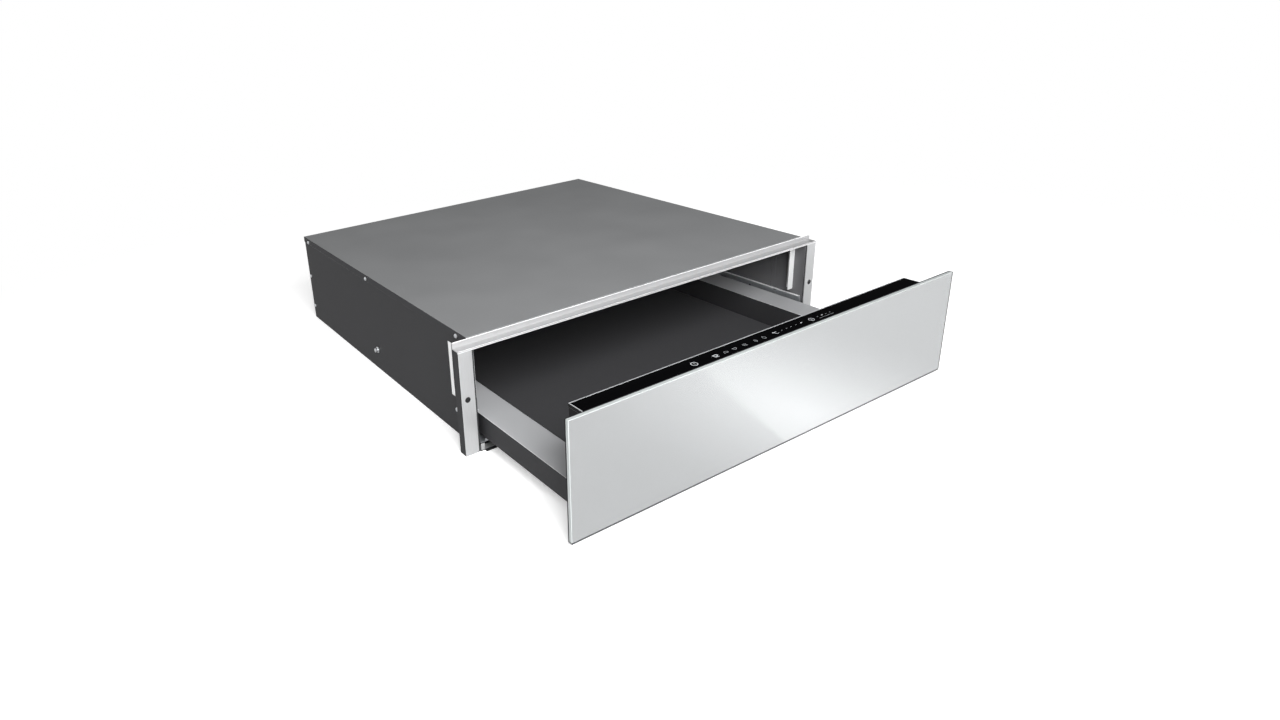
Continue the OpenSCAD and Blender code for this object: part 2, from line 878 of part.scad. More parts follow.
// Probe that reaches through the rear wall into the cavity
module temperature_sensor() {
    nut_back = wall_back + sensor_nut_t;
    color("silver") {
        bar_y(sensor_x, sensor_z, wall_y - sensor_reach, nut_back + spade_l, sensor_d);
        bar_y(sensor_x, sensor_z, wall_back, nut_back, sensor_nut_d);
    }
}

// Supply board on four posts, with its larger components
module power_board() {
    top_z = case_sheet + standoff_h + board_t;
    x1 = board_x + board_w;
    y1 = board_y + board_l;
    x_in = standoff_inset;
    part_shares = [[0.05, 0.1, 0.34, 0.62, 1], [0.42, 0.12, 0.6, 0.5, 0.7],
        [0.42, 0.6, 0.6, 0.92, 0.7], [0.7, 0.08, 0.96, 0.3, 0.45]];
    capacitor_shares = [[0.72, 0.6], [0.88, 0.6]];
    color("darkgreen") {
        block([board_x, board_y, case_sheet + standoff_h], [x1, y1, top_z]);
        for (x = [board_x + x_in, x1 - x_in], y = [board_y + x_in, y1 - x_in])
            bar_z(x, y, case_sheet, case_sheet + standoff_h, post_d);
    }
    color("black") for (p = part_shares)
        block([board_x + p[0] * board_w, board_y + p[1] * board_l, top_z],
            [board_x + p[2] * board_w, board_y + p[3] * board_l, top_z + p[4] * part_h]);
    color("gray") for (p = capacitor_shares)
        bar_z(board_x + p[0] * board_w, board_y + p[1] * board_l, top_z, top_z + capacitor_h,
            capacitor_d);
}

// Mains terminals on the floor of the service space
module terminal_block() {
    y0 = wall_back + terminal_setback;
    pole_w = terminal_w / (poles + 1);
    color("ivory") {
        block([terminal_x, y0, case_sheet], [terminal_x + terminal_w, y0 + terminal_d, terminal_h]);
        for (i = [0 : poles - 1])
            let (x = terminal_x + (i + 0.5) * terminal_w / poles)
            block([x - pole_w / 2, y0 + pole_edge, terminal_h],
                [x + pole_w / 2, y0 + terminal_d - pole_edge, terminal_h + pole_h]);
    }
}

// Bush that the mains cable passes through
module cable_gland() {
    gland_in = case_d + gland_flange_t - gland_l;
    color("black") difference() {
        union() {
            bar_y(gland_x, gland_z, case_d, case_d + gland_flange_t, gland_flange_d);
            bar_y(gland_x, gland_z, gland_in, case_d, gland_body_d);
            bar_y(gland_x, gland_z, back_in - gland_nut_t, back_in, gland_nut_d);
        }
        bar_y(gland_x, gland_z, gland_in - over, case_d + gland_flange_t + over, cable_d);
    }
}

// Wires along the floor of the service space, from the board to the mains terminals, with
// two risers to the duct
module wiring_loom() {
    loom_y = wall_back + loom_setback;
    loom_z = case_sheet + loom_d / 2;
    x0 = board_x + loom_start_share * board_w;
    x1 = terminal_x + terminal_w / 2;
    color("darkred") {
        bar_x(loom_y, loom_z, x0, x1, loom_d);
        bar_y(x1, loom_z, loom_y, wall_back + terminal_setback, loom_d);
        bar_z(x0, loom_y, loom_z, case_sheet + standoff_h, loom_d);
        for (x = riser_xs)
            bar_z(x, loom_y, loom_z, duct_low, loom_d);
    }
}

// Body of the push latch, bored for its plunger and spring
module latch_body() {
    color("dimgray") difference() {
        union() {
            block([-latch_w, latch_y, case_sheet], [latch_w, latch_y + latch_l, latch_h]);
            block([-latch_ear_x, latch_y, case_sheet],
                [latch_ear_x, latch_y + latch_l, case_sheet + latch_ear_h]);
        }
        bar_y(0, latch_axis_z, latch_y - over, latch_y + bore_l, plunger_d + 2 * fit_play);
    }
}

// One point of the spring's coil
function coil_point(a, r) = [r * cos(a), a / 360 * spring_pitch, r * sin(a)];

// Spring at the end of the latch bore, a swept tube of six sides
module latch_spring() {
    steps = 12;
    sides = 6;
    rings = spring_turns * steps;
    wire_r = spring_wire / 2;
    points = [for (k = [0 : rings], j = [0 : sides - 1])
        let (a = k * 360 / steps, b = j * 360 / sides)
        coil_point(a, spring_r + wire_r * cos(b)) + [0, wire_r * sin(b), 0]];
    walls = [for (k = [0 : rings - 1], j = [0 : sides - 1], t = [0, 1])
        let (p = k * sides + j, q = k * sides + (j + 1) % sides)
        t == 0 ? [p, q, q + sides] : [p, q + sides, p + sides]];
    start_cap = [for (j = [1 : sides - 2]) [0, j + 1, j]];
    end_cap = [for (j = [1 : sides - 2]) [rings * sides, rings * sides + j, rings * sides + j + 1]];
    color("silver") translate([0, spring_y + wire_r, latch_axis_z])
        polyhedron(points = points, faces = concat(walls, start_cap, end_cap));
}

// Plunger of the latch, with a tapered nose
module latch_plunger() {
    color("white") {
        bar_y(0, latch_axis_z, plunger_y + plunger_nose_l, plunger_end, plunger_d);
        translate([0, plunger_y, latch_axis_z]) rotate([-90, 0, 0])
            cylinder(h = plunger_nose_l, d1 = plunger_d - plunger_nose_l, d2 = plunger_d);
    }
}

// Front glass
module front_glass() {
    color("lightgray") block([-panel_x, panel_front, panel_z], [panel_x, panel_back, panel_top]);
}

// Steel plate behind the glass
module front_backplate() {
    color("dimgray") block([-panel_x + plate_inset, panel_back, panel_z + plate_inset],
        [panel_x - plate_inset, plate_back, panel_top - plate_inset]);
}

// Rubber buffers at the corners of the plate, which meet the stiles
module front_buffers() {
    buffer_t = panel_gap - plate_t - seat;
    buffer_x = panel_x - buffer_inset;
    color("black") both_sides() for (z = [panel_z + buffer_low, panel_z + buffer_high])
        bar_y(buffer_x, z, plate_back, plate_back + buffer_t, buffer_d);
}

// Angles that join the drawer to the plate
module front_brackets() {
    x0 = slide_out + bracket_gap;
    x1 = flange_x - drawer_sheet;
    z0 = flange_z - skirt_h;
    color("silver") both_sides() {
        block([x0, plate_back, z0], [x1, plate_back + bracket_t, flange_under]);
        block([x1 - bracket_t, plate_back + bracket_t, z0],
            [x1, plate_back + bracket_l, flange_under]);
    }
}

// Housing of the controls, open at the top and towards the plate
module control_housing() {
    color("black") difference() {
        block([-housing_x, plate_back, flange_z], [housing_x, housing_back, rim_z]);
        block([-housing_x + housing_wall, plate_back - over, flange_z + housing_wall],
            [housing_x - housing_wall, housing_back - housing_wall, rim_z + over]);
    }
}

// Bright trim round the control glass
module control_trim() {
    glass_x = housing_x - trim_t;
    color("silver") difference() {
        block([-housing_x, plate_back, rim_z], [housing_x, housing_back, control_z + trim_proud]);
        block([-glass_x, plate_back - over, glass_under],
            [glass_x, housing_back - trim_t, control_z + over]);
        block([-glass_x + trim_ledge_w, plate_back - over, rim_z - over],
            [glass_x - trim_ledge_w, housing_back - trim_t - trim_ledge_w, glass_under + over]);
    }
}

// Black glass over the touch controls
module control_glass() {
    glass_x = housing_x - trim_t;
    color("black") block([-glass_x, plate_back, glass_under],
        [glass_x, housing_back - trim_t, control_z]);
}

// Board under the control glass, carried by its touch pads
module touch_board() {
    top = glass_under - pad_h;
    mid = (plate_back + housing_back) / 2;
    color("darkgreen") block([-board_half, plate_back + board_edge, top - pcb_t],
        [board_half, housing_back - housing_wall - board_edge, top]);
    color("dimgray") for (i = [0 : pads - 1])
        bar_z(-board_half + (i + 0.5) * 2 * board_half / pads, mid, top, glass_under, pad_d);
}

// Right side of the drawer: inner wall, flange and skirt
module drawer_side() {
    y1 = drawer_back - drawer_sheet;
    block([well_x, plate_back, floor_top], [slide_in, y1, flange_under]);
    block([well_x, plate_back, flange_under], [flange_x, y1, flange_z]);
    block([flange_x - drawer_sheet, plate_back, flange_z - skirt_h], [flange_x, y1, flange_under]);
}

module drawer_side_right() {
    color("darkgray") drawer_side();
}

module drawer_side_left() {
    color("darkgray") mirror([1, 0, 0]) drawer_side();
}

// Floor of the drawer
module drawer_floor() {
    color("dimgray") block([-slide_in, plate_back, drawer_z],
        [slide_in, drawer_back - drawer_sheet, floor_top]);
}

// Front wall of the well, under the back of the control housing
module drawer_front_wall() {
    color("dimgray") block([-well_x, housing_back - drawer_sheet, floor_top],
        [well_x, housing_back, flange_z]);
}

// Rear wall of the drawer
module drawer_rear_wall() {
    color("dimgray") block([-slide_in, drawer_back - drawer_sheet, drawer_z],
        [slide_in, drawer_back, flange_z]);
}

// Mat on the floor of the well
module floor_mat() {
    color("black") block([-well_x + seat, housing_back + seat, floor_top],
        [well_x - seat, drawer_back - drawer_sheet - seat, floor_top + mat_sheet]);
}

// Tongue on the rear wall that meets the latch
module latch_striker() {
    foot_back = drawer_back + striker_foot_t;
    foot_half = striker_h + striker_foot_t;
    color("silver") {
        block([-2 * striker_w, drawer_back, latch_axis_z - foot_half],
            [2 * striker_w, foot_back, latch_axis_z + foot_half]);
        block([-striker_w, foot_back, latch_axis_z - striker_h],
            [striker_w, drawer_back + striker_l, latch_axis_z + striker_h]);
    }
}

// Screws that hold the inner rails to the drawer
module drawer_screws() {
    head_x = slide_in + runner_sheet;
    color("silver") both_sides() for (y = slide_screw_ys()) {
        bar_x(y, race_mid, head_x, head_x + slide_screw_head_h, slide_screw_head_d);
        bar_x(y, race_mid, slide_in, head_x, shank_d);
    }
}

top_panel();
side_panel_left();
side_panel_right();
bottom_panel();
back_panel();
frame_stile_left();
frame_stile_right();
frame_top_rail();
front_sill();
side_strip_left();
side_strip_right();
guide_plate_left();
guide_plate_right();
case_screws();
runner_studs();
runner_outer_left();
runner_outer_right();
cavity_ceiling();
insulation_mat();
cavity_rear_wall();
fan_housing();
fan_motor();
heating_element();
thermal_cutout();
temperature_sensor();
power_board();
terminal_block();
cable_gland();
wiring_loom();
latch_body();
latch_spring();
front_glass();
front_backplate();
front_buffers();
front_brackets();
control_housing();
control_glass();
control_trim();
touch_board();
drawer_side_left();
drawer_side_right();
drawer_floor();
drawer_front_wall();
drawer_rear_wall();
floor_mat();
runner_inner_left();
runner_inner_right();
latch_striker();
drawer_screws();
runner_mid_left();
runner_mid_right();
outer_cage_left();
outer_cage_right();
inner_cage_left();
inner_cage_right();
fan_rotor();
latch_plunger();
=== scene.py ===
import json
import logging
import math
from dataclasses import dataclass, field
from enum import Enum
from typing import Any, Callable, ClassVar, Iterable, Sequence

import bmesh
import bpy
from mathutils import Matrix, Vector, noise

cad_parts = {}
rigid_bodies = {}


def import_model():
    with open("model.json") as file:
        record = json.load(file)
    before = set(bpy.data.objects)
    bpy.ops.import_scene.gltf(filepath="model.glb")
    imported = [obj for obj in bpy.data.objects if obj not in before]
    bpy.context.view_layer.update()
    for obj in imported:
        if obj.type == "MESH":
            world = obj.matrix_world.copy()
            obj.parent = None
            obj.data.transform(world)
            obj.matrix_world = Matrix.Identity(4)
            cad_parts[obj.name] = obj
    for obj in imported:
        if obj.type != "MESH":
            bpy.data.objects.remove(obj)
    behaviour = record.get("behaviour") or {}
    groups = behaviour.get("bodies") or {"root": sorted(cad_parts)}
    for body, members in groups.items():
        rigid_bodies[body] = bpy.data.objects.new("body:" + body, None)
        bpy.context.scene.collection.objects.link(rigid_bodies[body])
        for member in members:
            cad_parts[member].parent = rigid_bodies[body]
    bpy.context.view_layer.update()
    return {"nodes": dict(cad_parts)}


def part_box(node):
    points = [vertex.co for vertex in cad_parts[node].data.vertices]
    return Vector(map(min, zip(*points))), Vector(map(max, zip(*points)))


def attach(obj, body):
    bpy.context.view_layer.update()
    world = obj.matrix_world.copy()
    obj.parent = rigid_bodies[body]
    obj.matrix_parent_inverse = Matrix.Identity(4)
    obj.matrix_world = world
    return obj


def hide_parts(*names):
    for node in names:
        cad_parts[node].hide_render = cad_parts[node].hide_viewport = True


LOG = logging.getLogger("warming_drawer")

# Lengths are in millimetres of the shared frame, X to the right, Y to the rear and Z up, where
# nothing else is said. MM turns them to the metres of a mesh.
MM = 0.001

SMOOTH_DEG = 35.0  # Edges that turn by more than this stay sharp to the eye.
SHARP_DEG = 60.0   # Edges that turn by more than this are rounded.
FLAT_DEG = 0.5     # Faces that meet at less than this are one flat face.
MERGE_MM = 0.002   # Points closer than this are one point.

# Which way a face looks, as the part of its normal along an axis.
SQUARE = 0.99        # It lies flat across the axis.
FACING = 0.8         # It looks along the axis, folds left out.
LEANING = 0.5        # It looks along the axis more than across it.
FOLD = (0.3, 0.97)   # It lies on a rounded fold.

Point = tuple[float, float, float]
Pair = tuple[float, float]
Tree = bpy.types.NodeTree
Node = bpy.types.Node
Socket = bpy.types.NodeSocket
Mesh = bmesh.types.BMesh
Face = bmesh.types.BMFace
Vert = bmesh.types.BMVert


class Axis(Enum):
    """A direction of the shared frame, such as the grain of a brushed sheet."""

    X = (1.0, 0.0, 0.0)
    Y = (0.0, 1.0, 0.0)
    Z = (0.0, 0.0, 1.0)


class Side(Enum):
    """The two sides of the drawer, by the sign of X."""

    LEFT = -1
    RIGHT = 1

    def of(self, stem: str) -> str:
        """Names a piece or a CAD node of this side."""
        return f"{stem}_{self.name.lower()}"


class Ray(Enum):
    """Outputs of Light Path that show the bright surroundings."""

    CAMERA = "Is Camera Ray"
    GLOSSY = "Is Glossy Ray"
    TRANSMISSION = "Is Transmission Ray"


def linear(hex_colour: str) -> tuple[float, float, float, float]:
    """Turns an sRGB hex colour into linear light.

    Args:
        hex_colour: Six hex digits, with or without a hash.

    Returns:
        Linear red, green and blue, and an alpha of one.
    """
    digits = hex_colour.lstrip("#")
    parts = [int(digits[i:i + 2], 16) / 255 for i in (0, 2, 4)]
    low, slope, shift, power = 0.04045, 12.92, 0.055, 2.4
    turned = [c / slope if c <= low else ((c + shift) / (1 + shift)) ** power for c in parts]
    return (turned[0], turned[1], turned[2], 1.0)


def add_node(tree: Tree, kind: str, values: dict[Any, Any] | None = None,
             links: dict[Any, Any] | None = None, **settings: Any) -> Node:
    """Adds one node with its settings, socket values and incoming links.

    Args:
        tree: The node tree that takes the node.
        kind: Blender's name of the node type.
        values: Socket name or index to a constant.
        links: Socket name or index to the output that feeds it.
        **settings: Attributes of the node, such as data_type.

    Returns:
        The new node.
    """
    node = tree.nodes.new(kind)
    for name, value in settings.items():
        setattr(node, name, value)
    for socket, value in (values or {}).items():
        node.inputs[socket].default_value = value
    for socket, source in (links or {}).items():
        tree.links.new(source, node.inputs[socket])
    return node


@dataclass
class Surface:
    """A material while it is dressed, with what the patterns of all finishes share.

    Attributes:
        finish: The finish that it shows.
        tree: The material's node tree.
        shader: Its Principled node.
        place: The point on the surface, in the piece's own metres.
    """

    finish: "Finish"
    tree: Tree
    shader: Node
    place: Socket

    def plain(self, **values: float) -> None:
        """Sets inputs of the shader, with underscores for blanks."""
        for name, value in values.items():
            self.shader.inputs[name.replace("_", " ").title()].default_value = value

    def grain(self, size_mm: float, stretch: Point = (1, 1, 1), detail: float = 3.0) -> Socket:
        """Makes a noise with a real size.

        Args:
            size_mm: Size of one patch of the noise.
            stretch: How much finer the noise is along each axis.
            detail: Octaves of finer noise.

        Returns:
            The noise's value, from 0 to 1.
        """
        scaled = add_node(self.tree, "ShaderNodeMapping", {"Scale": stretch},
                          {"Vector": self.place})
        cloud = add_node(self.tree, "ShaderNodeTexNoise",
                         {"Scale": 1 / (size_mm * MM), "Detail": detail},
                         {"Vector": scaled.outputs["Vector"]})
        return cloud.outputs["Fac"]

    def vary_colour(self, value: Socket, low: float = 0.35, high: float = 0.65) -> None:
        """Mixes the finish's shade with its own colour by a pattern.

        Args:
            value: The pattern.
            low: Pattern value that gives the shade.
            high: Pattern value that gives the finish's own colour.
        """
        ramp = add_node(self.tree, "ShaderNodeValToRGB", links={"Fac": value})
        dark, own = ramp.color_ramp.elements
        dark.position, dark.color = low, linear(self.finish.shade or self.finish.colour)
        own.position, own.color = high, linear(self.finish.colour)
        self.tree.links.new(ramp.outputs["Color"], self.shader.inputs["Base Color"])

    def vary_roughness(self, value: Socket, spread: float) -> None:
        """Lets the roughness wander about its plain value by a pattern.

        Args:
            value: The pattern.
            spread: How far it wanders, up and down.
        """
        plain = self.finish.roughness
        span = add_node(self.tree, "ShaderNodeMapRange",
                        {"To Min": max(0.0, plain - spread), "To Max": min(1.0, plain + spread)},
                        {"Value": value})
        self.tree.links.new(span.outputs["Result"], self.shader.inputs["Roughness"])

    def emboss(self, value: Socket, depth_mm: float, strength: float) -> None:
        """Presses a pattern into the surface.

        Args:
            value: The pattern.
            depth_mm: Real depth of the relief.
            strength: Share of it that shows.
        """
        bump = add_node(self.tree, "ShaderNodeBump",
                        {"Strength": strength, "Distance": depth_mm * MM}, {"Height": value})
        self.tree.links.new(bump.outputs["Normal"], self.shader.inputs["Normal"])


@dataclass(frozen=True)
class Finish:
    """One real surface, from which one material is built.

    Attributes:
        name: What the surface is.
        colour: Its sRGB hex colour.
        roughness: Roughness of its plain parts.
        grain_mm: Real size of its pattern, or the coarsest that still reads as it.
        specular: Share of a dielectric's usual reflection.
        shade: Its second sRGB hex colour, where its pattern is low.
    """

    name: str
    colour: str
    roughness: float
    grain_mm: float = 1.0
    specular: float = 0.5
    shade: str = ""

    def material(self) -> bpy.types.Material:
        """Builds the material, or finds the one already built.

        Returns:
            The material of this finish.
        """
        found = bpy.data.materials.get(self.name)
        if found is not None:
            return found
        made = bpy.data.materials.new(self.name)
        made.use_nodes = True
        made.diffuse_color = linear(self.colour)
        tree = made.node_tree
        tree.nodes.clear()
        shader = add_node(tree, "ShaderNodeBsdfPrincipled",
                          {"Base Color": linear(self.colour), "Roughness": self.roughness,
                           "Specular IOR Level": self.specular})
        add_node(tree, "ShaderNodeOutputMaterial", links={"Surface": shader.outputs["BSDF"]})
        place = add_node(tree, "ShaderNodeTexCoord").outputs["Object"]
        self.dress(Surface(self, tree, shader, place))
        return made

    def dress(self, surface: Surface) -> None:
        """Adds the pattern of the surface; each kind of surface has its own.

        Args:
            surface: The material that is dressed.
        """
        raise NotImplementedError


@dataclass(frozen=True)
class StovedPaint(Finish):
    """Polyester powder, stoved on steel sheet: even, with a faint orange peel.

    Attributes:
        peel_mm: Depth of the peel.
        cloud_mm: Size of the slow change of tone over the sheet.
    """

    peel_mm: float = 0.02
    cloud_mm: float = 90.0

    def dress(self, surface: Surface) -> None:
        """Adds the peel and a slow change of tone over the sheet.

        Args:
            surface: The material that is dressed.
        """
        surface.emboss(surface.grain(self.grain_mm), self.peel_mm, strength=0.35)
        cloud = surface.grain(self.cloud_mm, detail=1.0)
        surface.vary_colour(cloud, low=0.2, high=0.8)
        surface.vary_roughness(cloud, spread=0.04)


@dataclass(frozen=True)
class BrushedSteel(Finish):
    """Chrome-nickel sheet, brushed with an abrasive belt: long fine lines in one direction.

    The belt's own lines are about 0.05 mm apart. They are drawn 0.35 mm apart, because finer
    ones don't show.

    Attributes:
        along: Direction of the lines.
        metallic: How much it mirrors the room. The less, the more even it looks.
        line_share: Thickness of a line as a share of its length.
    """

    along: Axis = Axis.X
    metallic: float = 1.0
    line_share: float = 0.025

    def dress(self, surface: Surface) -> None:
        """Adds lines that are thin across the belt's run and forty times as long along it.

        Args:
            surface: The material that is dressed.
        """
        surface.plain(metallic=self.metallic)
        stretch = tuple(self.line_share if c else 1.0 for c in self.along.value)
        lines = surface.grain(self.grain_mm, stretch, detail=5.0)
        surface.vary_colour(lines, low=0.3, high=0.6)
        surface.vary_roughness(lines, spread=0.1)
        surface.emboss(lines, depth_mm=0.01, strength=0.25)


@dataclass(frozen=True)
class ZincPlate(Finish):
    """Rolled steel with bright zinc: a pale metal with faint crystals of a few millimetres.

    Attributes:
        metallic: How much it mirrors the room.
        rolled_mm: Size of the dull marks that the rolls leave.
    """

    metallic: float = 1.0
    rolled_mm: float = 0.8

    def dress(self, surface: Surface) -> None:
        """Adds the crystals, which differ in tone and in gloss.

        Args:
            surface: The material that is dressed.
        """
        surface.plain(metallic=self.metallic)
        crystals = add_node(surface.tree, "ShaderNodeTexVoronoi",
                            {"Scale": 1 / (self.grain_mm * MM)}, {"Vector": surface.place})
        tone = add_node(surface.tree, "ShaderNodeRGBToBW",
                        links={"Color": crystals.outputs["Color"]}).outputs["Val"]
        surface.vary_colour(tone, low=0.1, high=0.9)
        surface.vary_roughness(tone, spread=0.08)
        surface.emboss(surface.grain(self.rolled_mm), depth_mm=0.004, strength=0.2)


@dataclass(frozen=True)
class BackedGlass(Finish):
    """Clear float glass with a lacquer baked on its back: a smooth gloss over the colour.

    The lacquer's own flake is about 0.05 mm. It is drawn at 0.3 mm or more, because a finer one
    doesn't show.

    Attributes:
        metallic: How much the lacquer mirrors the room.
        coat: How much the glass over it mirrors the room.
        sheet_mm: Size of the slow waves of the float glass.
    """

    metallic: float = 0.0
    coat: float = 1.0
    sheet_mm: float = 60.0

    def dress(self, surface: Surface) -> None:
        """Adds the glass as a coat, and the fine flake of the lacquer under it.

        Args:
            surface: The material that is dressed.
        """
        surface.plain(metallic=self.metallic, coat_weight=self.coat, coat_roughness=0.03)
        surface.vary_colour(surface.grain(self.grain_mm, detail=2.0), low=0.3, high=0.7)
        surface.vary_roughness(surface.grain(self.sheet_mm, detail=1.0), spread=0.02)


@dataclass(frozen=True)
class GroundEdge(Finish):
    """The ground and polished edge of float glass: pale, with a faint streak along it.

    The wheel's own streaks are about 0.1 mm apart. They are drawn 0.6 mm apart, because finer
    ones don't show.
    """

    def dress(self, surface: Surface) -> None:
        """Adds the streaks of the grinding wheel.

        Args:
            surface: The material that is dressed.
        """
        streaks = surface.grain(self.grain_mm, stretch=(0.03, 1.0, 0.03))
        surface.vary_colour(streaks, low=0.3, high=0.7)
        surface.vary_roughness(streaks, spread=0.05)


@dataclass(frozen=True)
class Moulded(Finish):
    """A moulded polymer or rubber: matt, with the spark grain of its mould.

    The real grain is 0.1 to 0.3 mm. It is drawn at 0.5 mm or more, because a finer one doesn't
    show.

    Attributes:
        relief_mm: Depth of the grain.
    """

    relief_mm: float = 0.03

    def dress(self, surface: Surface) -> None:
        """Adds the mould's grain and a slight change of tone.

        Args:
            surface: The material that is dressed.
        """
        grain = surface.grain(self.grain_mm)
        surface.emboss(grain, self.relief_mm, strength=0.5)
        surface.vary_colour(grain)
        surface.vary_roughness(grain, spread=0.06)


@dataclass(frozen=True)
class PlainMetal(Finish):
    """A stamped, drawn or turned metal: bright, with patches of wear.

    Its scratches are about 0.05 mm wide. They are drawn as patches of 0.6 mm or more, because
    finer ones don't show.
    """

    def dress(self, surface: Surface) -> None:
        """Adds the scratches and the patchy tone.

        Args:
            surface: The material that is dressed.
        """
        surface.plain(metallic=1.0)
        patches = surface.grain(self.grain_mm, detail=4.0)
        surface.vary_colour(patches)
        surface.vary_roughness(patches, spread=0.1)


@dataclass(frozen=True)
class Layered(Finish):
    """Metal in thin layers, such as a laminated core: bands across one axis.

    The sheets of the core are 0.5 mm thick. The bands are drawn at 1.5 mm, because finer ones
    don't show.

    Attributes:
        across: Axis that the layers are stacked along.
    """

    across: Axis = Axis.Y

    def dress(self, surface: Surface) -> None:
        """Adds the bands, with a groove between two layers.

        Args:
            surface: The material that is dressed.
        """
        surface.plain(metallic=0.8)
        bands = add_node(surface.tree, "ShaderNodeTexWave",
                         {"Scale": 1 / (self.grain_mm * MM * math.tau)},
                         {"Vector": surface.place}, bands_direction=self.across.name)
        surface.vary_colour(bands.outputs["Fac"], low=0.3, high=0.7)
        surface.emboss(bands.outputs["Fac"], depth_mm=0.1, strength=0.5)


@dataclass(frozen=True)
class Populated(Finish):
    """A coated circuit board: green laminate with copper lines, dark bodies above it.

    The real lines are about 1 mm apart. They are drawn 9 mm apart, because finer ones don't
    show.

    Attributes:
        top_mm: Height of the laminate's upper face.
        clear_mm: How far above that face the dark colour starts.
        body: sRGB hex colour of the parts on it.
        copper: sRGB hex colour of the lines under the green coat.
        line_share: Width of a line as a share of the pattern.
        FIRST: Number of the first colour input of a Mix node.
        SECOND: Number of its second colour input.
        MIXED: Number of its colour output.
    """

    top_mm: float = 9.4
    clear_mm: float = 0.2
    body: str = "#17181b"
    copper: str = "#3f7d54"
    line_share: float = 0.04
    FIRST: ClassVar[int] = 6
    SECOND: ClassVar[int] = 7
    MIXED: ClassVar[int] = 2

    def dress(self, surface: Surface) -> None:
        """Adds the lines on the laminate, and the dark colour above its upper face.

        Args:
            surface: The material that is dressed.
        """
        tree, place, green = surface.tree, surface.place, linear(self.colour)
        lines = add_node(tree, "ShaderNodeTexBrick",
                         {"Scale": 1 / (self.grain_mm * MM), "Color1": green, "Color2": green,
                          "Mortar": linear(self.copper), "Mortar Size": self.line_share},
                         {"Vector": place})
        height = add_node(tree, "ShaderNodeSeparateXYZ", links={"Vector": place})
        above = add_node(tree, "ShaderNodeMath", {1: (self.top_mm + self.clear_mm) * MM},
                         {0: height.outputs["Z"]}, operation="GREATER_THAN")
        mixed = add_node(tree, "ShaderNodeMix", {self.SECOND: linear(self.body)},
                         {0: above.outputs[0], self.FIRST: lines.outputs["Color"]},
                         data_type="RGBA")
        tree.links.new(mixed.outputs[self.MIXED], surface.shader.inputs["Base Color"])
        surface.vary_roughness(surface.grain(size_mm=3.0), spread=0.08)


@dataclass(frozen=True)
class RockWool(Finish):
    """Bonded mineral fibre: matt, with short fibres in all directions.

    The real fibres are about 0.01 mm thick. They are drawn as tufts of 2.5 mm, because finer
    ones don't show.
    """

    def dress(self, surface: Surface) -> None:
        """Adds the fibres as a noise drawn out along X.

        Args:
            surface: The material that is dressed.
        """
        fibres = surface.grain(self.grain_mm, stretch=(0.15, 1.0, 1.0), detail=6.0)
        surface.vary_colour(fibres, low=0.3, high=0.7)
        surface.emboss(fibres, depth_mm=0.6, strength=0.9)


@dataclass(frozen=True)
class Ink(Finish):
    """Ceramic ink printed on glass: a flat pale mark with a slightly uneven tone.

    The threads of the printing screen are about 0.1 mm apart. They are drawn as a grain of
    0.3 mm, because a finer one doesn't show.
    """

    def dress(self, surface: Surface) -> None:
        """Adds the mesh of the printing screen.

        Args:
            surface: The material that is dressed.
        """
        surface.vary_colour(surface.grain(self.grain_mm), low=0.2, high=0.5)


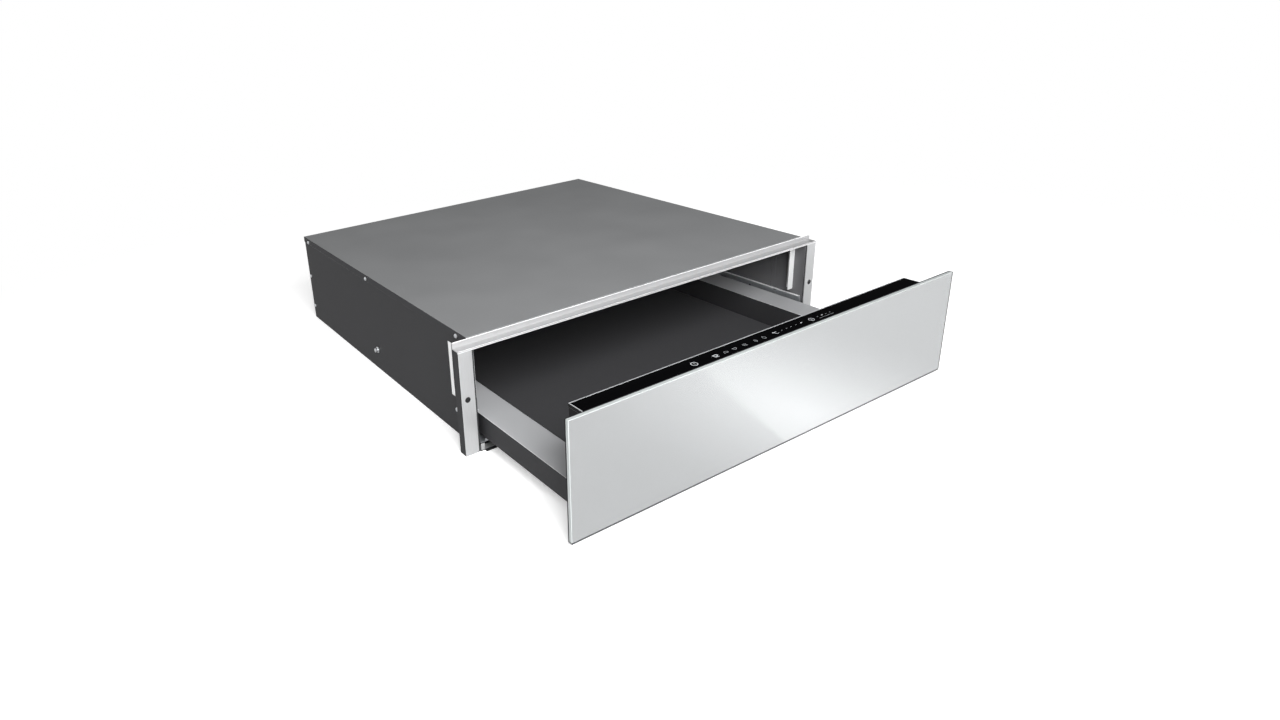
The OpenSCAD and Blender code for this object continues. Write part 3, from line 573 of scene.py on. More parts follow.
class Finishes:
    """Every finish of the drawer, by where it is used.

    Each line gives the name, the colour, the roughness, the size of the pattern in millimetres
    and the share of a dielectric's reflection, and then by name what differs from the usual.
    """

    # Powder on the top sheet: an even mid grey that shows no lamp in it.
    top = StovedPaint("satin_grey_powder", "#7f8081", 0.5, 1.2, 0.25, shade="#797a7b")
    # Powder on the sides: dark and dull, so that the bright strip and the frame stand out.
    # The same powder stands as painted shade on the stiles' outer edges and hole walls and on the
    # drawer sides' outer faces.
    side = StovedPaint("dark_grey_powder", "#333335", 0.55, 1.2, 0.2, shade="#2f2f31")
    # Powder under the drawer: the sides' powder a little darker, as painted shade under the
    # drawer.
    shaded_floor_paint = StovedPaint("dark_grey_powder_painted_shade", "#2c2c2e", 0.55, 1.2, 0.2, shade="#272729")
    # Powder on the walls that face the drawer: lighter, with a little sheen.
    inner = StovedPaint("inner_grey_powder", "#6a6a6c", 0.4, 1.2, 0.3, shade="#636365")
    # Enamel on the cavity's sheets: dark, with a slow wave from firing.
    cavity = StovedPaint("cavity_enamel", "#38383a", 0.5, 1.6, 0.25, shade="#333335")
    # Enamel in the drawer's well: dark, and dull enough to hide its corners.
    well = StovedPaint("well_enamel", "#3f3f41", 0.55, 1.4, 0.2, shade="#3a3a3c")
    # Enamel on the flanges: paler than the well, as painted light on the faces that look up.
    flange = StovedPaint("flange_painted_light", "#a8a9ab", 0.45, 1.4, 0.3, shade="#a1a2a4")
    # The same, brighter still, on the flanges' folds: a painted highlight as a thin bright line.
    fold = StovedPaint("fold_painted_highlight", "#d4d5d6", 0.4, 1.4, 0.4, shade="#cecfd0")
    # Steel brushed along the top rail: a soft grey band without a mirror image.
    rail = BrushedSteel("brushed_rail_steel", "#bababb", 0.4, 0.35, along=Axis.X,
                        shade="#b0b0b1", metallic=0.55)
    # The rail's folds and edges, painted bright: a painted highlight as a pale line above and
    # below the band.
    rail_highlight = BrushedSteel("painted_highlight_of_rail", "#ececed", 0.45, 0.35, along=Axis.X,
                             shade="#e2e2e3", metallic=0.2)
    # Steel brushed upright on the stiles and the sill: the rail's grey, a little duller.
    stile = BrushedSteel("brushed_stile_steel", "#c3c4c5", 0.45, 0.35, along=Axis.Z,
                         shade="#b9babb", metallic=0.55)
    # Bright strip in the slot of each side: nearly white against the powder.
    strip = BrushedSteel("bright_strip_steel", "#f2f3f3", 0.5, 0.35, along=Axis.Z,
                         shade="#e8e9e9", metallic=0.3)
    # Zinc on brackets, striker and probe: a cool pale grey with faint crystals.
    zinc = ZincPlate("zinc_plated_sheet", "#c3c6ca", 0.32, 4.0, shade="#b6b9bd")
    # Zinc on the runners' rails: greyer, and dulled by a film of grease.
    slide = ZincPlate("zinc_plated_slide", "#b4b7bb", 0.34, 4.0, shade="#a9acb0", metallic=0.6)
    # The runner's upper edge, painted bright: a painted highlight as a thin pale line along its
    # length.
    crest = BrushedSteel("runner_crest_painted_highlight", "#eeeff0", 0.45, 0.35, along=Axis.Y,
                         shade="#e3e4e5", metallic=0.3)
    # Galvanised sheet of the fan's duct: large crystals in two greys.
    duct = ZincPlate("galvanised_duct", "#b3b7bb", 0.38, 6.0, shade="#9ea2a6")
    # Bright zinc on the steel of screws and springs: small bright points.
    screw = PlainMetal("bright_screw_steel", "#eceef0", 0.3, 0.6, shade="#d9dbde")
    # Stamped brass of the ball cages: a warm yellow between the grey rails.
    cage = PlainMetal("brass_cage", "#c9a961", 0.3, 1.0, shade="#a88a45")
    # Aluminised steel of the fan wheel: a soft silver with patches.
    wheel = PlainMetal("aluminised_wheel", "#c6c9cc", 0.35, 2.0, shade="#a3a6a9")
    # Heater tube, browned by its own heat: dark, with a dull metal sheen.
    tube = PlainMetal("oxidised_heater_tube", "#4a4542", 0.5, 3.0, shade="#2f2c2b")
    # The motor's stacked core: grey bands with dark gaps.
    core = Layered("laminated_core", "#6a7078", 0.45, 1.5, shade="#3b3f44")
    # Silver lacquer behind the front glass: a pale mirror that blurs the floor.
    front = BackedGlass("silver_backed_glass", "#cdcfd0", 0.18, 0.3, 0.5, metallic=0.85,
                        shade="#cccecf", coat=0.3)
    # The ground edge of the front glass: a thin matt rim.
    edge = GroundEdge("polished_glass_edge", "#a3a7a7", 0.45, 0.6, 0.2, shade="#9b9f9f")
    # The same edge on the right and below, with a thin band of the front: nearly black, as painted
    # shade.
    painted_edge_shade = GroundEdge("glass_edge_painted_shade", "#303436", 0.4, 0.6, 0.2, shade="#2b2f31")
    # Black lacquer behind the control glass: deep, with hardly any mirror image.
    black_glass = BackedGlass("black_backed_glass", "#060607", 0.08, 1.0, 0.06,
                              shade="#050506", coat=0.0)
    # The trim round the control glass: a fine grey line.
    trim = BrushedSteel("trim_steel", "#b2b4b6", 0.4, 0.35, along=Axis.X, shade="#a8aaac",
                        metallic=0.2)
    # Stoved plate behind the front glass: a plain dull black.
    back_plate = StovedPaint("black_stoved_plate", "#1b1b1d", 0.5, 1.2, 0.3, shade="#171719")
    # ABS of the control housing and the latch: black, with a fine grain.
    housing = Moulded("black_housing_polymer", "#0e0e0f", 0.5, 0.7, 0.2, shade="#0b0b0c")
    # Polyamide of terminals and plunger: a warm off-white.
    pale = Moulded("pale_polyamide", "#dcd9cf", 0.45, 0.8, 0.5, shade="#d2cfc4")
    # Phenolic resin of the safety cut-out: a dark brown with a slight gloss.
    brown = Moulded("brown_phenolic", "#46281a", 0.4, 0.8, 0.5, shade="#3a2014")
    # Rubber of the buffers and the seals: black, and the dullest of all.
    rubber = Moulded("black_rubber", "#131314", 0.8, 0.5, 0.3, shade="#0f0f10", relief_mm=0.05)
    # The anti-slip mat: a dull dark grey with a coarse pebble.
    mat = Moulded("anti_slip_mat", "#464648", 0.7, 1.2, 0.2, shade="#404042", relief_mm=0.15)
    # The supply board: green, with dark bodies on it.
    board = Populated("populated_board", "#0f4a2b", 0.4, 9.0, 0.5)
    # The touch board: the same, at its own height.
    touch = Populated("touch_laminate", "#0f4a2b", 0.4, 9.0, 0.5, top_mm=120.1)
    # Mineral wool: a dull straw colour, rough all over.
    wool = RockWool("bonded_mineral_wool", "#b4aa86", 0.95, 2.5, 0.1, shade="#8d8468")
    # Ceramic ink of the main signs: a clear pale grey on the black glass.
    sign = Ink("ceramic_sign_ink", "#c3c6c9", 0.5, 0.3, 0.3, shade="#a9acb0")
    # The same ink laid thinner for the others: a middle grey.
    dim_sign = Ink("ceramic_dim_ink", "#8b8e91", 0.5, 0.3, 0.3, shade="#a9acb0")
    # Silicone sleeves of the wires: three plain colours with a slight gloss.
    red_sleeve = Moulded("red_wire_sleeve", "#8c1f17", 0.4, 0.6, 0.5, shade="#7a1a13")
    blue_sleeve = Moulded("blue_wire_sleeve", "#1d3f86", 0.4, 0.6, 0.5, shade="#193672")
    grey_sleeve = Moulded("grey_wire_sleeve", "#8e9195", 0.4, 0.6, 0.5, shade="#7f8286")


def shade_round(mesh: Mesh, rounded: Iterable[Face] = ()) -> None:
    """Shades rounds smoothly and leaves sheets flat, so that no crease crosses a sheet.

    Args:
        mesh: The mesh.
        rounded: Faces of a rounded edge, which are always smooth.
    """
    soft = set(rounded)
    flat, corner = 0.001, math.radians(SMOOTH_DEG)
    for face in mesh.faces:
        joined = [other for edge in face.edges if len(edge.link_faces) == 2
                  and flat < edge.calc_face_angle(0.0) < corner
                  for other in edge.link_faces if other is not face]
        face.smooth = face in soft or any(other not in soft for other in joined)


def new_piece(name: str, mesh: Mesh, finishes: Sequence[Finish],
              smooth_deg: float = SMOOTH_DEG) -> bpy.types.Object:
    """Turns mesh data into an object at the origin, with its finishes.

    Args:
        name: Name of the piece.
        mesh: The finished mesh with its shading; it is freed here.
        finishes: One finish for each material index in use.
        smooth_deg: Edges sharper than this stay sharp.

    Returns:
        The new object.
    """
    data = bpy.data.meshes.new(name)
    mesh.to_mesh(data)
    mesh.free()
    for finish in finishes:
        data.materials.append(finish.material())
    smooth = [face.use_smooth for face in data.polygons]
    data.set_sharp_from_angle(angle=math.radians(smooth_deg))
    data.polygons.foreach_set("use_smooth", smooth)
    made = bpy.data.objects.new(name, data)
    bpy.context.scene.collection.objects.link(made)
    return made


def settle(piece: bpy.types.Object, body: str, slot: str, *nodes: str) -> None:
    """Ties a finished piece to its body and hides the CAD nodes that it stands for.

    Args:
        piece: The finished piece.
        body: CAD body that carries it.
        slot: Material slot of the record. Not used.
        *nodes: CAD nodes that it replaces.
    """
    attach(piece, body)
    if nodes:
        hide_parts(*nodes)
    LOG.info("%s rides on %s and stands for %s", piece.name, body, ", ".join(nodes) or "nothing")


def softened(node: str, radius_mm: float, steps: int = 3, least_mm: float | None = None) -> Mesh:
    """Copies a CAD node and rounds its sharp edges, as folding or grinding leaves them.

    Args:
        node: Name of the CAD node.
        radius_mm: Width of the rounding.
        steps: Faces across the rounding.
        least_mm: Shortest outer edge that is rounded, which leaves holes and inner corners
            alone. Without it, every sharp edge is rounded.

    Returns:
        The rounded mesh, which the caller owns.
    """
    def facing(face: Face) -> tuple[float, ...]:
        """A face's direction, coarse enough to compare."""
        return tuple(round(c, 2) + 0.0 for c in face.normal)

    mesh = bmesh.new()
    mesh.from_mesh(bpy.data.objects[node].data)
    bmesh.ops.remove_doubles(mesh, verts=mesh.verts, dist=MERGE_MM * MM)
    bmesh.ops.dissolve_limit(mesh, angle_limit=math.radians(FLAT_DEG), verts=mesh.verts,
                             edges=mesh.edges)
    paint(mesh, lambda face: 0)  # The copy has the CAD node's own numbers until here.
    flat_ways = {facing(face) for face in mesh.faces}
    edges = [edge for edge in mesh.edges if len(edge.link_faces) == 2
             and edge.calc_face_angle(0.0) > math.radians(SHARP_DEG)
             and (least_mm is None or edge.is_convex and edge.calc_length() > least_mm * MM)]
    made = bmesh.ops.bevel(mesh, geom=edges, offset=radius_mm * MM, segments=steps,
                           profile=0.5, affect="EDGES", clamp_overlap=True)
    bmesh.ops.recalc_face_normals(mesh, faces=mesh.faces)
    shade_round(mesh, [face for face in made["faces"] if facing(face) not in flat_ways])
    return mesh


def paint(mesh: Mesh, pick: Callable[[Face], int]) -> None:
    """Gives every face the number of its finish.

    Args:
        mesh: The mesh.
        pick: Says the number for a face.
    """
    for face in mesh.faces:
        face.material_index = pick(face)


def cut_across(mesh: Mesh, way: Axis, place: float) -> None:
    """Cuts every face where a level plane crosses it, so that a finish can end there.

    Args:
        mesh: The mesh.
        way: Axis that the plane lies across.
        place: Place of the plane on that axis, in metres.
    """
    bmesh.ops.bisect_plane(mesh, geom=[*mesh.verts, *mesh.edges, *mesh.faces],
                           plane_co=Vector(way.value) * place, plane_no=way.value)


def carried(path: Sequence[Vector]) -> list[tuple[Vector, Vector, Vector]]:
    """Carries a cross-section along a path, without a twist of its own.

    Args:
        path: Points of the middle line.

    Returns:
        Each point, with the two directions across the path there.
    """
    ahead = (path[1] - path[0]).normalized()
    across = ahead.orthogonal().normalized()
    made = []
    for i, point in enumerate(path):
        turned = (path[min(i + 1, len(path) - 1)] - path[max(i - 1, 0)]).normalized()
        across = (ahead.rotation_difference(turned) @ across).normalized()
        ahead = turned
        made.append((point, across, ahead.cross(across)))
    return made


def skin(mesh: Mesh, rings: Sequence[Sequence[Vert]], slot: int = 0,
         closed: bool = False) -> None:
    """Joins a row of rings with faces, and caps both its ends where it is open.

    Args:
        mesh: The mesh that holds the points.
        rings: Points round the form. A ring that is one point many times needs no cap.
        slot: Material index.
        closed: Whether the last ring joins the first.
    """
    count = len(rings[0])
    pairs = list(zip(rings, rings[1:])) + ([(rings[-1], rings[0])] if closed else [])
    outlines = [(a[k], a[(k + 1) % count], b[(k + 1) % count], b[k])
                for a, b in pairs for k in range(count)]
    if not closed:
        outlines += [tuple(reversed(rings[0])), tuple(rings[-1])]
    for outline in outlines:
        corners = list(dict.fromkeys(outline))
        if len(corners) > 2:
            mesh.faces.new(corners).material_index = slot


def tube(mesh: Mesh, path: Sequence[Vector], radius: float, sides: int, slot: int) -> None:
    """Sweeps a round tube along a path and closes both ends.

    Args:
        mesh: The mesh that takes the tube.
        path: Points of the centre line.
        radius: Radius of the tube in metres.
        sides: Faces round the tube.
        slot: Material index.
    """
    turns = [math.tau * k / sides for k in range(sides)]
    skin(mesh, [[mesh.verts.new(point + radius * (across * math.cos(turn) + up * math.sin(turn)))
                 for turn in turns] for point, across, up in carried(path)], slot)


def ribbon(mesh: Mesh, path: Sequence[Pair], width: float, low: float, high: float,
           closed: bool, slot: int) -> None:
    """Draws a thin flat stroke that lies on a level surface.

    Args:
        mesh: The mesh that takes the stroke.
        path: Points of its middle line, as X and Y.
        width: Width of the stroke.
        low: Height of its underside.
        high: Height of its upper face.
        closed: Whether the last point joins the first.
        slot: Material index.
    """
    points = [Vector(p) for p in path]
    count = len(points)
    least_mitre = 0.5  # A sharp bend grows to twice the width of the stroke and no further.
    columns: list[list[Vert]] = []
    for i, point in enumerate(points):
        before = points[i - 1] if closed or i else point
        after = points[(i + 1) % count] if closed or i + 1 < count else point
        into = (point - before).normalized() if point != before else None
        out = (after - point).normalized() if after != point else None
        run = ((into or out) + (out or into)).normalized()
        side = Vector((-run.y, run.x))
        half = side * width / 2 / max(least_mitre, run.dot(out or into))
        columns.append([mesh.verts.new((*(point + s * half), z)) for s, z in
                        ((1, low), (-1, low), (-1, high), (1, high))])
    skin(mesh, columns, slot, closed)


def arc(centre: Pair, radius: float, start_deg: float, end_deg: float,
        steps: int) -> list[Pair]:
    """Draws an arc with both its ends; a full turn leaves the last point out.

    Args:
        centre: Its middle.
        radius: Its radius.
        start_deg: Angle of its first point, anticlockwise from X.
        end_deg: Angle of its last point.
        steps: Number of equal steps.

    Returns:
        The points, as X and Y.
    """
    full = abs(end_deg - start_deg) >= 360
    count = steps if full else steps + 1
    angles = [math.radians(start_deg + (end_deg - start_deg) * i / steps) for i in range(count)]
    return [(centre[0] + radius * math.cos(a), centre[1] + radius * math.sin(a)) for a in angles]


@dataclass
class ScrewTree:
    """A Geometry Nodes tree that sets one pan-head screw on each point of a mesh.

    Attributes:
        name: Name of the tree.
        sides: Faces round a head.
        shank_sides: Faces round a shank.
        tree: The tree.
        given: Its named inputs.
        SIZES: Each size of a screw in metres, which is a named input.
        SHARES: Each height that follows from a size: its name, the size and the factor.
    """

    name: str = "pan_head_screws"
    sides: int = 28
    shank_sides: int = 16
    tree: Tree = field(init=False, repr=False)
    given: Any = field(init=False, repr=False)
    SIZES: ClassVar[tuple[tuple[str, float], ...]] = (
        ("Head Radius", 0.00275), ("Head Height", 0.002), ("Dome Share", 0.62),
        ("Shank Radius", 0.0015), ("Shank Length", 0.0016), ("Recess Length", 0.0032),
        ("Recess Width", 0.0007), ("Recess Depth", 0.001))
    SHARES: ClassVar[tuple[tuple[str, str, float], ...]] = (
        ("half head", "Head Height", 0.5), ("quarter head", "Head Height", 0.25),
        ("recess", "Recess Depth", 2.0), ("half shank", "Shank Length", -0.5))

    def __post_init__(self) -> None:
        """Starts the tree, with a named input for each size and one for the finish."""
        self.tree = bpy.data.node_groups.new(self.name, "GeometryNodeTree")
        face = self.tree.interface
        face.new_socket("Geometry", in_out="INPUT", socket_type="NodeSocketGeometry")
        for label, value in self.SIZES:
            socket = face.new_socket(label, in_out="INPUT", socket_type="NodeSocketFloat")
            socket.default_value = value
        face.new_socket("Finish", in_out="INPUT", socket_type="NodeSocketMaterial")
        face.new_socket("Geometry", in_out="OUTPUT", socket_type="NodeSocketGeometry")
        self.given = add_node(self.tree, "NodeGroupInput").outputs

    def build(self) -> None:
        """Sets a screw on each point, turned to the point's outward direction."""
        tree, given = self.tree, self.given
        share = {name: add_node(tree, "ShaderNodeMath", {1: factor}, {0: given[size]},
                                operation="MULTIPLY").outputs[0]
                 for name, size, factor in self.SHARES}
        pressed = add_node(tree, "GeometryNodeMeshBoolean",
                           links={"Mesh 1": self.head(share["half head"], share["quarter head"]),
                                  "Mesh 2": self.recess(share["recess"])},
                           operation="DIFFERENCE")
        rod = add_node(tree, "GeometryNodeMeshCylinder", {"Vertices": self.shank_sides},
                       {"Radius": given["Shank Radius"], "Depth": given["Shank Length"]})
        whole = add_node(tree, "GeometryNodeJoinGeometry")
        for part in (pressed.outputs["Mesh"], self.lifted(rod, share["half shank"])):
            tree.links.new(part, whole.inputs["Geometry"])
        outward = add_node(tree, "GeometryNodeInputNamedAttribute", {"Name": "outward"},
                           data_type="FLOAT_VECTOR")
        turned = add_node(tree, "FunctionNodeAlignRotationToVector",
                          links={"Vector": outward.outputs["Attribute"]}, axis="Z")
        placed = add_node(tree, "GeometryNodeInstanceOnPoints",
                          links={"Points": given["Geometry"],
                                 "Instance": whole.outputs["Geometry"],
                                 "Rotation": turned.outputs["Rotation"]})
        real = add_node(tree, "GeometryNodeRealizeInstances",
                        links={"Geometry": placed.outputs["Instances"]})
        dressed = add_node(tree, "GeometryNodeSetMaterial",
                           links={"Geometry": real.outputs["Geometry"],
                                  "Material": given["Finish"]})
        add_node(tree, "NodeGroupOutput", links={"Geometry": dressed.outputs["Geometry"]})

    def lifted(self, part: Node, lift: Socket) -> Socket:
        """Moves a part of the screw along its axis.

        Args:
            part: The node that makes the part.
            lift: How far it goes out of the seat.

        Returns:
            The moved part.
        """
        offset = add_node(self.tree, "ShaderNodeCombineXYZ", links={"Z": lift})
        return add_node(self.tree, "GeometryNodeTransform",
                        links={"Geometry": part.outputs["Mesh"],
                               "Translation": offset.outputs[0]}).outputs[0]

    def head(self, half: Socket, quarter: Socket) -> Socket:
        """Makes the straight lower half and the domed upper half of a head.

        Args:
            half: Half of the head's height.
            quarter: A quarter of it.

        Returns:
            The head, on its seat.
        """
        wide = self.given["Head Radius"]
        rim = add_node(self.tree, "GeometryNodeMeshCylinder", {"Vertices": self.sides},
                       {"Radius": wide, "Depth": half})
        small = add_node(self.tree, "ShaderNodeMath", links={0: wide, 1: self.given["Dome Share"]},
                         operation="MULTIPLY")
        dome = add_node(self.tree, "GeometryNodeMeshCone", {"Vertices": self.sides},
                        {"Radius Bottom": wide, "Radius Top": small.outputs[0], "Depth": half})
        joined = add_node(self.tree, "GeometryNodeMeshBoolean", operation="UNION")
        for part in (self.lifted(rim, quarter), self.lifted(dome, half)):
            self.tree.links.new(part, joined.inputs["Mesh 2"])
        return joined.outputs["Mesh"]

    def recess(self, deep: Socket) -> Socket:
        """Makes the cross that is pressed into the head.

        Args:
            deep: Height of the cross, twice the recess's depth.

        Returns:
            The cross, at the top of the head.
        """
        cross = add_node(self.tree, "GeometryNodeMeshBoolean", operation="UNION")
        for across, up in (("Length", "Width"), ("Width", "Length")):
            size = add_node(self.tree, "ShaderNodeCombineXYZ",
                            links={"X": self.given[f"Recess {across}"],
                                   "Y": self.given[f"Recess {up}"], "Z": deep})
            bar = add_node(self.tree, "GeometryNodeMeshCube", links={"Size": size.outputs[0]})
            self.tree.links.new(bar.outputs["Mesh"], cross.inputs["Mesh 2"])
        return self.lifted(cross, self.given["Head Height"])

    def screws(self, name: str, places: Sequence[tuple[Vector, Vector]],
               finish: Finish) -> bpy.types.Object:
        """Sets screws and turns them into a plain mesh.

        Args:
            name: Name of the piece.
            places: Seat of each head and the direction that it faces.
            finish: Finish of the screws.

        Returns:
            The finished piece.
        """
        self.build()
        points = bpy.data.meshes.new(name + "_points")
        points.from_pydata([p for p, _ in places], [], [])
        facing = points.attributes.new("outward", "FLOAT_VECTOR", "POINT")
        facing.data.foreach_set("vector", [c for _, v in places for c in v])
        holder = bpy.data.objects.new(name, points)
        bpy.context.scene.collection.objects.link(holder)
        modifier = holder.modifiers.new("screws", "NODES")
        modifier.node_group = self.tree
        sockets = {s.name: s.identifier for s in self.tree.interface.items_tree
                   if s.in_out == "INPUT"}
        modifier[sockets["Finish"]] = finish.material()
        ready = holder.evaluated_get(bpy.context.evaluated_depsgraph_get())
        plain = bpy.data.meshes.new_from_object(ready)
        holder.modifiers.remove(modifier)
        holder.data = plain
        plain.materials.clear()
        plain.materials.append(finish.material())
        return holder


@dataclass
class CaseShell:
    """The painted case: panels, screws and studs.

    Attributes:
        lip_x: Outer face of the lips of the top panel.
        side_x: Outer face of the side panels.
        lip_ys: Places of the screws in the lips.
        lip_z: Height of those screws.
        rear_y: Place of the screws at the rear edge.
        rear_zs: Heights of those screws.
        stud: Place and height of the stud in each side.
        stud_profile: Its distances out of the side, and its radius at each.
        runner_screw: Place and height of the runner's front screw.
        screw_profile: The same as for the stud.
        fold_mm: Width of the rounded folds of the top panel, and twice that of the sides.
        least_mm: Shortest fold that is rounded.
    """

    lip_x: float = 279.2
    side_x: float = 278.4
    lip_ys: tuple[float, ...] = (23.0, 276.138, 502.0)
    lip_z: float = 134.4
    rear_y: float = 515.5
    rear_zs: Pair = (22.0, 74.0)
    stud: Pair = (263.5, 31.0)
    stud_profile: tuple[Pair, ...] = (
        (-1.6, 2.0), (0.0, 2.0), (0.0, 4.2), (0.3, 4.5), (1.2, 4.5), (1.5, 4.2), (1.5, 3.0),
        (4.5, 3.0), (5.0, 2.6), (5.0, 0.0))
    runner_screw: Pair = (36.0, 34.0)
    screw_profile: tuple[Pair, ...] = (
        (-1.6, 2.0), (0.0, 2.0), (0.0, 2.6), (0.2, 2.75), (1.0, 2.75), (1.7, 2.2), (2.0, 1.5),
        (2.0, 0.9), (1.3, 0.7), (1.3, 0.0))
    fold_mm: float = 0.35
    least_mm: float = 100.0

    def build(self) -> None:
        """Makes every piece of the case."""
        self.top()
        for side in Side:
            self.side(side)
            self.strip(side)
        self.screws()
        self.studs()

    def top(self) -> None:
        """Makes the top panel, with its lips in the colour of the sides."""
        mesh = softened("top_panel", self.fold_mm, 2, self.least_mm)
        paint(mesh, lambda face: int(abs(face.normal.x) > FACING))
        settle(new_piece("case_top", mesh, [Finishes.top, Finishes.side]), "case", "case_top",
               "top_panel")

    def side(self, side: Side) -> None:
        """Makes a side panel, dark outside and lighter where it faces the drawer.

        Args:
            side: Side of the case.
        """
        mesh = softened(side.of("side_panel"), self.fold_mm / 2, 2, self.least_mm)
        paint(mesh, lambda face: int(face.normal.x * side.value < -FACING))
        settle(new_piece(side.of("case_side"), mesh, [Finishes.side, Finishes.inner]), "case",
               "case_side", side.of("side_panel"))

    def strip(self, side: Side) -> None:
        """Makes the bright strip in the slot of a side, painted where it doesn't look out.

        Args:
            side: Side of the case.
        """
        outward = 0.1
        mesh = softened(side.of("side_strip"), self.fold_mm / 2, 2)
        paint(mesh, lambda face: int(face.normal.x * side.value < outward))
        settle(new_piece(side.of("strip"), mesh, [Finishes.strip, Finishes.inner]), "case",
               "stainless", side.of("side_strip"))

    def screws(self) -> None:
        """Sets pan heads in the lips and along the rear edge."""
        places = []
        for side in Side:
            out = Vector((side.value, 0, 0))
            spots = [(self.lip_x, y, self.lip_z) for y in self.lip_ys]
            spots += [(self.side_x, self.rear_y, z) for z in self.rear_zs]
            places += [(Vector((side.value * x, y, z)) * MM, out) for x, y, z in spots]
        piece = ScrewTree().screws("case_screw_set", places, Finishes.screw)
        settle(piece, "case", "zinc", "case_screws")

    def studs(self) -> None:
        """Turns the shoulder studs and front screws of the runners, as on a lathe."""
        mesh = bmesh.new()
        for side in Side:
            self.lathe(mesh, side, self.stud, self.stud_profile)
            self.lathe(mesh, side, self.runner_screw, self.screw_profile)
        bmesh.ops.recalc_face_normals(mesh, faces=mesh.faces)
        shade_round(mesh)
        settle(new_piece("runner_stud_set", mesh, [Finishes.screw]), "case", "zinc",
               "runner_studs")

    def lathe(self, mesh: Mesh, side: Side, axis: Pair, profile: Sequence[Pair],
              sides: int = 28) -> None:
        """Turns a profile about a line along X.

        Args:
            mesh: The mesh that takes the form.
            side: Side of the case.
            axis: Place and height of the line, in millimetres.
            profile: Distance out of the side and radius, in millimetres.
            sides: Faces round the form.
        """
        y, z = axis
        turns = [math.tau * k / sides for k in range(sides)]
        rings = []
        for out, radius in ((profile[0][0], 0.0), *profile):
            x = side.value * (self.side_x + out) * MM
            if radius == 0:
                rings.append([mesh.verts.new((x, y * MM, z * MM))] * sides)
                continue
            rings.append([mesh.verts.new((x, (y + radius * math.cos(turn)) * MM,
                                          (z + radius * math.sin(turn)) * MM))
                          for turn in turns])
        skin(mesh, rings)


@dataclass
class FrontFrame:
    """The stainless frame in the face of the cabinet.

    Attributes:
        fold_mm: Width of the rounded folds.
        lower_highlight_mm: Height of the painted highlight at the rail's lower edge, coarser than
            the real one.
        rail_least_mm: Shortest fold of the rail that is rounded.
        stile_least_mm: Shortest fold of a stile that is rounded.
        hole_at: Place of a fixing hole, out from the middle and up.
        hole_reach: Distance from its axis within which a face is its wall.
    """

    fold_mm: float = 0.5
    lower_highlight_mm: float = 1.0
    rail_least_mm: float = 100.0
    stile_least_mm: float = 50.0
    hole_at: Pair = (289.75, 71.0)
    hole_reach: float = 4.0

    def build(self) -> None:
        """Makes the rail and the two stiles."""
        self.rail()
        for side in Side:
            self.stile(side)

    def rail(self) -> None:
        """Makes the top rail, with a painted highlight on its folds and its upper and lower edges.
        """
        mesh = softened("frame_top_rail", self.fold_mm, 3, self.rail_least_mm)
        low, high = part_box("frame_top_rail")
        lower_highlight_z, upper_highlight_z = low.z + self.lower_highlight_mm * MM, high.z - self.fold_mm * MM
        cut_across(mesh, Axis.Z, lower_highlight_z)

        def finish_of(face: Face) -> int:
            """Says whether a face takes the painted highlight."""
            height = face.calc_center_median().z
            return int(FOLD[0] < face.normal.z < FOLD[1] or height < lower_highlight_z or height > upper_highlight_z)

        paint(mesh, finish_of)
        settle(new_piece("frame_rail", mesh, [Finishes.rail, Finishes.rail_highlight]), "case",
               "stainless", "frame_top_rail")

    def stile(self, side: Side) -> None:
        """Makes a stile, with painted shade in its hole and on its outer edge.

        Args:
            side: Side of the frame.
        """
        mesh = softened(side.of("frame_stile"), self.fold_mm, 3, self.stile_least_mm)
        axis = Vector((side.value * self.hole_at[0], self.hole_at[1])) * MM

        def finish_of(face: Face) -> int:
            """Says which finish a face has.

            Args:
                face: The face.

            Returns:
                One for the painted shade in the hole and on the outer edge, or else zero.
            """
            gap = (face.calc_center_median().xz - axis).length
            # The hole's wall and the outer edge take the dark side powder as painted shade.
            wall = gap < self.hole_reach * MM and abs(face.normal.y) < LEANING
            return int(wall or face.normal.x * side.value > FACING)

        paint(mesh, finish_of)
        settle(new_piece(side.of("stile"), mesh, [Finishes.stile, Finishes.side]), "case",
               "stainless", side.of("frame_stile"))


@dataclass
class FrontPanel:
    """The glass front with its polished edge.

    Attributes:
        arris_mm: Width of the ground and polished edge.
        shaded_mm: Depth from the lower and the right edge to which the glass takes the painted
            shade.
        bond_mm: Depth of the black bonding frame behind the glass.
    """

    arris_mm: float = 0.7
    shaded_mm: float = 2.2
    bond_mm: float = 2.0

    def build(self) -> None:
        """Makes the glass, with its edge in a finish of its own."""
        mesh = softened("front_glass", self.arris_mm)
        low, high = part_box("front_glass")
        inner_x, inner_z = high.x - self.shaded_mm * MM, low.z + self.shaded_mm * MM
        bond_y = high.y - self.bond_mm * MM
        for way, place in ((Axis.X, inner_x), (Axis.Y, bond_y), (Axis.Z, inner_z)):
            cut_across(mesh, way, place)
        finishes = [Finishes.front, Finishes.edge, Finishes.painted_edge_shade, Finishes.rubber]

        def finish_of(face: Face) -> int:
            """Says which finish a face has.

            Args:
                face: The face.

            Returns:
                Number of its finish: front, bright edge, edge with painted shade or bonding frame.
            """
            middle = face.calc_center_median()
            if middle.y > bond_y:
                return finishes.index(Finishes.rubber)
            # The right and the lower edge, with a thin band of the front, take the painted shade.
            if middle.x > inner_x or middle.z < inner_z:
                return finishes.index(Finishes.painted_edge_shade)
            flat = face.normal.y < -SQUARE
            return finishes.index(Finishes.front if flat else Finishes.edge)

        paint(mesh, finish_of)
        settle(new_piece("front_pane", mesh, finishes), "drawer", "front_glass", "front_glass")


@dataclass(frozen=True)
class Stroke:
    """One printed line of a sign.

    Attributes:
        points: The line, in millimetres from the middle of the sign.
        closed: Whether it is a loop.
        width_mm: Its width.
    """

    points: Sequence[Pair]
    closed: bool = False
    width_mm: float = 0.6


